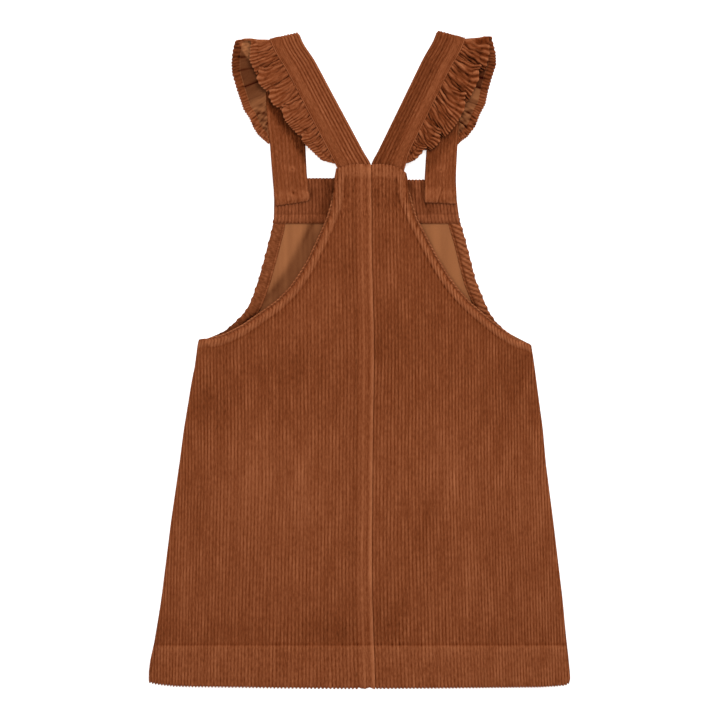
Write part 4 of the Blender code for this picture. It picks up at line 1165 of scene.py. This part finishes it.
# Painted light and shade on the turned hem there
HEM_LIGHT = {"left": [
    (128, -0.3), (138, -0.46), (152, -0.42), (160, -0.16), (172, -0.14), (182, 0.02), (190, 0.16),
    (222, 0.1),
], "right": [
    (126, -0.2), (136, -0.2), (150, -0.42), (163, -0.3), (172, -0.12), (185, -0.04), (200, -0.1),
    (222, -0.05),
]}
CREASES = {"left": [
    (143.5, 1), (154.5, 0.6), (167, 1.1), (180, 0.6), (188.5, 0.7), (196, 0.8), (203, 0.7),
    (211, 0.8),
], "right": [
    (148, 0.5), (161.5, 0.8), (169.8, 1), (185, 1.1), (194.5, 0.7), (200, 0.6), (206, 0.9),
    (213, 0.7),
]}

# Nicks between the lobes: distance along the seam, how much nearer the shoulder the valley that
# starts at the nick meets the seam, how far the lobe nearer the yoke laps over the other, how far
# that one runs on below it, how far the lapping corner is drawn in
NICKS = {"left": [
    (34.3, 10, 1.5, 1, 2), (67.5, 7, 3.5, 4, 3), (84.6, 9, 2, 1.5, 2.4), (103.7, 2, 4.5, 1.5, 4),
], "right": [
    (20.5, 4, 7, 0.5, 4), (43.6, 7, 8.5, 0.5, 4.6), (81.5, 8, 8.5, 0.5, 4.6),
    (106.7, 6, 8, 0.5, 4.6),
]}

RUFFLE_WALL = 1.1
PUCKER = {"left": 4.7, "right": 5.8}   # one pucker along the seam
ODD_FOLDS = {"left": 0.78, "right": 0.88}   # share of small folds out of step with the rest
# How strong the puckers' painted light and shade is, how light the cloth is, how clear its wales
# are near the edge
RUFFLE_LOOKS = {"left": (0.56, 0.08, 0.22), "right": (1.12, -0.14, 0.46)}
EDGE_WALE = 2.55     # one wale of the gathered cloth along the seam
HEM_WIDTH = 6.6      # of the ruffle's turned hem
LEAN = 5             # how much nearer the yoke a pucker ends at the edge than at the seam
SEAM_START = 179     # height on the dress from which distances along the seam are measured
INNER_ROWS, HEM_ROWS = 30, 10   # of a ruffle's grid, from the seam to its hem and in the hem


def laps(side, u, v):
    """At a nick the lobe nearer the yoke laps over the next, and the cloth folds back between
    them: how far it slides along the edge, rises and is drawn in, and how much painted shade falls
    there."""
    slide, dive, tuck, dark = 0 * v, 0 * v, 0 * v, 0 * v
    for nick, reach, over, below, draw in NICKS[side]:
        w = u - nick - reach * (1 - v) ** 1.4
        after = 1 - ease(w, 1 + 0.6 * over, 3.5 + 1.3 * over)
        cross = np.clip((1 - w) / 2, 0, 1)
        folded = over * cross - below * (1 - cross)
        folded = np.where(w > 1, -below * ease(w, 9, 1), folded)
        slide += np.where(w < -1, over * ease(w, -6 - over, -1), folded)
        dive += 1.1 * ease(w, -5 - 0.5 * over, -2) * ease(w, 0.4, -1.4)
        dive -= 1.2 * ease(w, -0.8, 0.8) * after
        tuck += draw * ease(w, -4 - 0.6 * over, -1.5) * ease(w, 1, -0.8) + 1.5 * bell(w, 0, 1)
        dark += ease(w, -0.6, 0.3) * ease(w, 2.5 + 0.8 * over, 0.6 + 0.4 * over)
    return slide, dive, tuck, dark


def puckers(side, u, v, q, hem):
    """The height of a ruffle's folds, and of the short ones near the seam on their own. Each
    pucker runs at one value of q."""
    pitch = PUCKER[side]
    strength = 0.6 + 0.4 * np.sin(q / 5.3 + 0.8) + 0.25 * np.sin(q / 2.3)
    strength = strength + 0.35 * drift(q / 2.6, v * 9, 1.1)
    tight = 2 * wave(q / pitch) ** 1.6 - 0.7
    small = np.cos(2 * math.pi * (q + 0.5 * np.sin(q / 3.7)) / (pitch * 0.55) + 0.6) * 0.35
    broad = np.cos(2 * math.pi * (q + 0.8 * v * np.sin(u / 8)) / (pitch * 2.1) + 1.3)
    odd = drift(q / 1.9, v * 6, 0.7) + 0.8 * drift(q / 0.9, v * 8, 2.1)
    # Some puckers run out soon, others carry on towards the edge
    reach = 0.5 + 0.5 * np.sin(q / pitch * 2.2 + 1.3 * np.sin(q / pitch * 0.9))
    early = 1 - 0.95 * ease((v - 0.08 - 0.12 * reach) / (0.25 + 0.4 * reach), 0, 1)
    short = (tight * strength + small) * early
    fold = short + (0.15 + 0.35 * np.sin(math.pi * v)) * broad * (1 - 0.8 * ease(v, 0.4, 0.8))
    fold += ODD_FOLDS[side] * odd * (1 - 0.75 * hem)
    return fold * ease(v, 0, 0.05), short


def ruffle(side):
    left = side == "left"
    sections = strap_sections[side]
    edge = sections[:, 3:6]
    gone = lengths(edge)
    length = gone - np.interp(SEAM_START, edge[:60, 1], gone[:60])
    up, down = (np.array(runs[side], float) for runs in (RUFFLE_BACKS, RUFFLE_FRONTS))
    fold = roll(up[-1], down[0], (50, 0, -50), [1], (0, 1))
    free = np.array([*up, *fold, *down])
    keys, free = free[:, 0], free[:, 1:]
    turn, fall = up[-1, 0], down[0, 0]
    u = np.concatenate([np.arange(keys[0], turn, 0.3), np.linspace(turn, fall, 18)[1:-1],
                        np.arange(fall, keys[-1], 0.42)])
    back = 1 - ease(u, turn - 2, turn + 3)
    shade_strength, light, comb = RUFFLE_LOOKS[side]
    seam = read_off(u, length, edge) - unit(read_off(u, length, edge - sections[:, 0:3])) * 0.5

    width = np.linalg.norm(read_off(u, keys, free) - seam, axis=1)
    hem_at = np.clip(1 - HEM_WIDTH / width, 0.25, 0.8)
    inner_v = (np.arange(INNER_ROWS) / INNER_ROWS)[:, None] ** 1.15 * hem_at
    hem_v = hem_at + (1 - hem_at) * (np.arange(HEM_ROWS + 1) / HEM_ROWS)[:, None] ** 0.8
    v = np.concatenate([inner_v, hem_v])
    hem = (np.arange(len(v)) >= INNER_ROWS)[:, None] * 1.0
    from_edge = (1 - v) * width
    full = ease(width, 2, 12)

    slide, dive, tuck, dark = laps(side, u, v)
    tip = np.pad(read_off(u + slide * v ** 1.6, keys, free), ((0, 0), (2, 2), (0, 0)), mode="edge")
    kernel = np.hanning(7)[1:-1] / np.hanning(7).sum()
    tip = sum(weight * tip[:, i:i + len(u)] for i, weight in enumerate(kernel))
    start = read_off(u + slide * v ** 1.6 * 0.9, u, seam)
    out_way = unit(tip - start)
    line = start + (tip - start) * v[:, :, None] - out_way * (tuck * v ** 3)[:, :, None]
    line[:, :, 2] += dive * ease(v, 0, 0.8) + (tip - start)[:, :, 2] * np.sin(v * math.pi) * 0.25

    # Puckers leave the seam steeply, slanting down, and run out towards the edge
    lean = LEAN * (1 - (1 - v) ** 2.2) * back
    bend = 1.6 * np.sin(u / 17) + 0.9 * np.sin(u / 6.1 + 1) + 0.9 * drift(u / 7, v * 4, 0.4)
    bend += 1.1 * drift(u / 2.9, v * 7.5, 1.9) * ease(v, 0.08, 0.35)
    q = u + lean + bend
    fold, short = puckers(side, u, v, q, hem)
    crease = sum(deep * bell(u + 1.5 * v, at, 0.9) for at, deep in CREASES[side])
    crease *= ease(v, 0.05, 0.3) * (1 - 0.6 * ease(from_edge, 5.5, 2.5)) * (1 - back)
    crumple = bell(u, turn + 4, 5) * np.sin(q * 2.7) * np.sin(v * 17 + u) * ease(v, 0.2, 0.5)
    # Near its lower end the front run is crushed
    crushed = (1 - back) * ease(u, 183, 192)
    fold = (fold * (1 - 0.55 * (1 - back) + 0.7 * crushed) + crumple) * full
    line[:, :, 2] += fold * (1.1 - 0.35 * v) * (0.4 + 0.6 * back) - crease * 0.5 * full
    lowest = RUFFLE_WALL / 2 + 0.1 + 2.4 * back * ease(v, 0, 0.2) * (v < 0.9)
    line[:, :, 2] = np.maximum(line[:, :, 2], lowest)

    normal = facing(line)
    normal = normal if normal[12, 30, 2] > 0 else -normal
    normal[:, :, 2] = np.where(back > 0.9, np.abs(normal[:, :, 2]), normal[:, :, 2])
    wale = wave((u + 0.9 * lean + 0.5 * bend) / EDGE_WALE)
    stitched = bell(from_edge, HEM_WIDTH, 0.7)
    thick = RUFFLE_WALL / 2 * (1 + 0.45 * hem - 0.5 * ease(from_edge, 0.9, 0))
    ridge = 0.16 + 0.5 * ease(v, 0.35, 0.75) + 0.25 * hem
    above = thick + ridge * wale * ease(v, 0.05, 0.3) - 0.3 * stitched
    below = thick + 0.25 * wale * hem - 0.35 * stitched
    upper, lower = line + normal * above[:, :, None], line - normal * below[:, :, None]
    teeth = out_way[-1] * (0.85 * wale[-1] * full)[:, None]
    for grid in (upper, lower):
        grid[-1] += teeth
        grid[-2] += teeth * 0.5
        grid[:, :, 2] = np.maximum(grid[:, :, 2], 0.05)

    # Painted light and shade: the sides of the folds that face the shoulder are lighter than those
    # that face the hem, the puckers' crests and the free edge get painted highlights, and the laps,
    # the hollows near the seam and the hem's stitching painted shade
    slope = np.clip(np.gradient(line[:, :, 2], axis=1) / np.gradient(u), -1, 1)
    slope = (slope[:, :-2] + slope[:, 1:-1] + slope[:, 2:]) / 3
    slope = np.pad(slope, ((0, 0), (1, 1)), mode="edge") * full
    tip_light = bell(from_edge, 0, 0.9)
    shade = 0.22 * fold * (1 - 0.3 * v) - 0.34 * slope
    shade += 0.26 * np.maximum(short - 0.5, 0) - 0.22 * np.maximum(-short - 0.2, 0)
    glow = light + shade_strength * shade - 0.08 * ease(v, 0.07, 0) + (0.1 + 0.25 * wale) * tip_light
    glow -= (0.42 if left else 0.7) * dark * ease(v, 0, 0.8) + 0.2 * stitched - 0.1 * hem
    glow += comb * (wale - 0.55) * (ease(v, 0.35, 0.7) + 0.6 * hem)
    teeth_light = (0.22 if left else 0.42) * (wale - 0.5)
    inner_glow = along(PADS[side], u) * (1 - hem) + (along(HEM_LIGHT[side], u) + teeth_light) * hem
    if left:
        # Under this shoulder a crumpled corner of the cloth catches the light
        corner = ease(131 + 36 * (0.95 - v) - u, -1, 1.5) * ease(v, 0.3, 0.5)
        inner_glow += corner * (0.72 + 0.45 * drift(u * 1.6, v * 24, 0.8))
    # Painted shade in the creases and along the hem's stitching, painted light on the slopes that
    # face the shoulder and at the edge
    creased = np.minimum(crease, 1)
    inner_glow -= bell(from_edge, HEM_WIDTH, 0.9) * (0.1 + 0.22 * creased) + 0.3 * creased
    inner_glow += 0.15 * slope - 0.1 * fold + 0.15 * tip_light
    inner_glow += crushed * (0.5 * drift(u / 1.2, v * 8, 0.8) - 0.08)
    piece = shell(
        "ruffle_" + side + "_cloth", upper, lower, gridded((u + 0.7 * lean) * 1.3, from_edge),
        {"rib": (0.1 + 0.9 * wale, 0.35 + 0.45 * wale), "glow": (glow, inner_glow)},
        [corduroy, corduroy_back], turned=INNER_ROWS,
    )
    fit(piece, "ruffle_" + side)


ruffle("left")
ruffle("right")


# ---- Surface, light and camera ------------------------------------------------------------
# A plain pale surface under soft light from above the shoulders, a little to the right, seen from
# straight above through a long lens.

bpy.ops.object.select_all(action="DESELECT")
bpy.ops.mesh.primitive_plane_add(size=6.0, location=(0, 0, -0.0002))
floor = bpy.context.object
floor.name = "floor"
paper = bpy.data.materials.new("pale_surface")
paper.use_nodes = True
surface = paper.node_tree.nodes["Principled BSDF"]
surface.inputs["Base Color"].default_value = (0.93, 0.93, 0.93, 1.0)
surface.inputs["Roughness"].default_value = 0.9
surface.inputs["Emission Color"].default_value = (1.0, 1.0, 1.0, 1.0)
surface.inputs["Emission Strength"].default_value = 0.6
floor.data.materials.append(paper)

for name, place, size, power in (
    ("key", (0.45, 1.15, 1.55), 0.9, 19.0), ("fill", (-1.2, -0.6, 1.8), 1.6, 8.0),
):
    bpy.ops.object.light_add(type="AREA", location=place)
    lamp = bpy.context.object
    lamp.name = name + "_light"
    lamp.data.size = size
    lamp.data.energy = power
    away = np.array(place) / np.linalg.norm(place)
    lamp.rotation_euler = (math.acos(away[2]), 0.0, math.atan2(away[0], -away[1]))

world = bpy.data.worlds.new("studio")
bpy.context.scene.world = world
world.use_nodes = True
world.node_tree.nodes["Background"].inputs["Color"].default_value = (1.0, 1.0, 1.0, 1.0)
world.node_tree.nodes["Background"].inputs["Strength"].default_value = 0.62
bpy.context.scene.view_settings.view_transform = "Standard"

VIEW_WIDTH = 0.6624
VIEW_HEIGHT = 2.4
at = (0.00064, -0.0006 + RISE * 0.001, VIEW_HEIGHT)
bpy.ops.object.camera_add(location=at, rotation=(0, 0, 0))
camera = bpy.context.object
camera.data.sensor_width = 36.0
camera.data.lens = 36.0 * (VIEW_HEIGHT - 0.004) / VIEW_WIDTH
bpy.context.scene.camera = camera
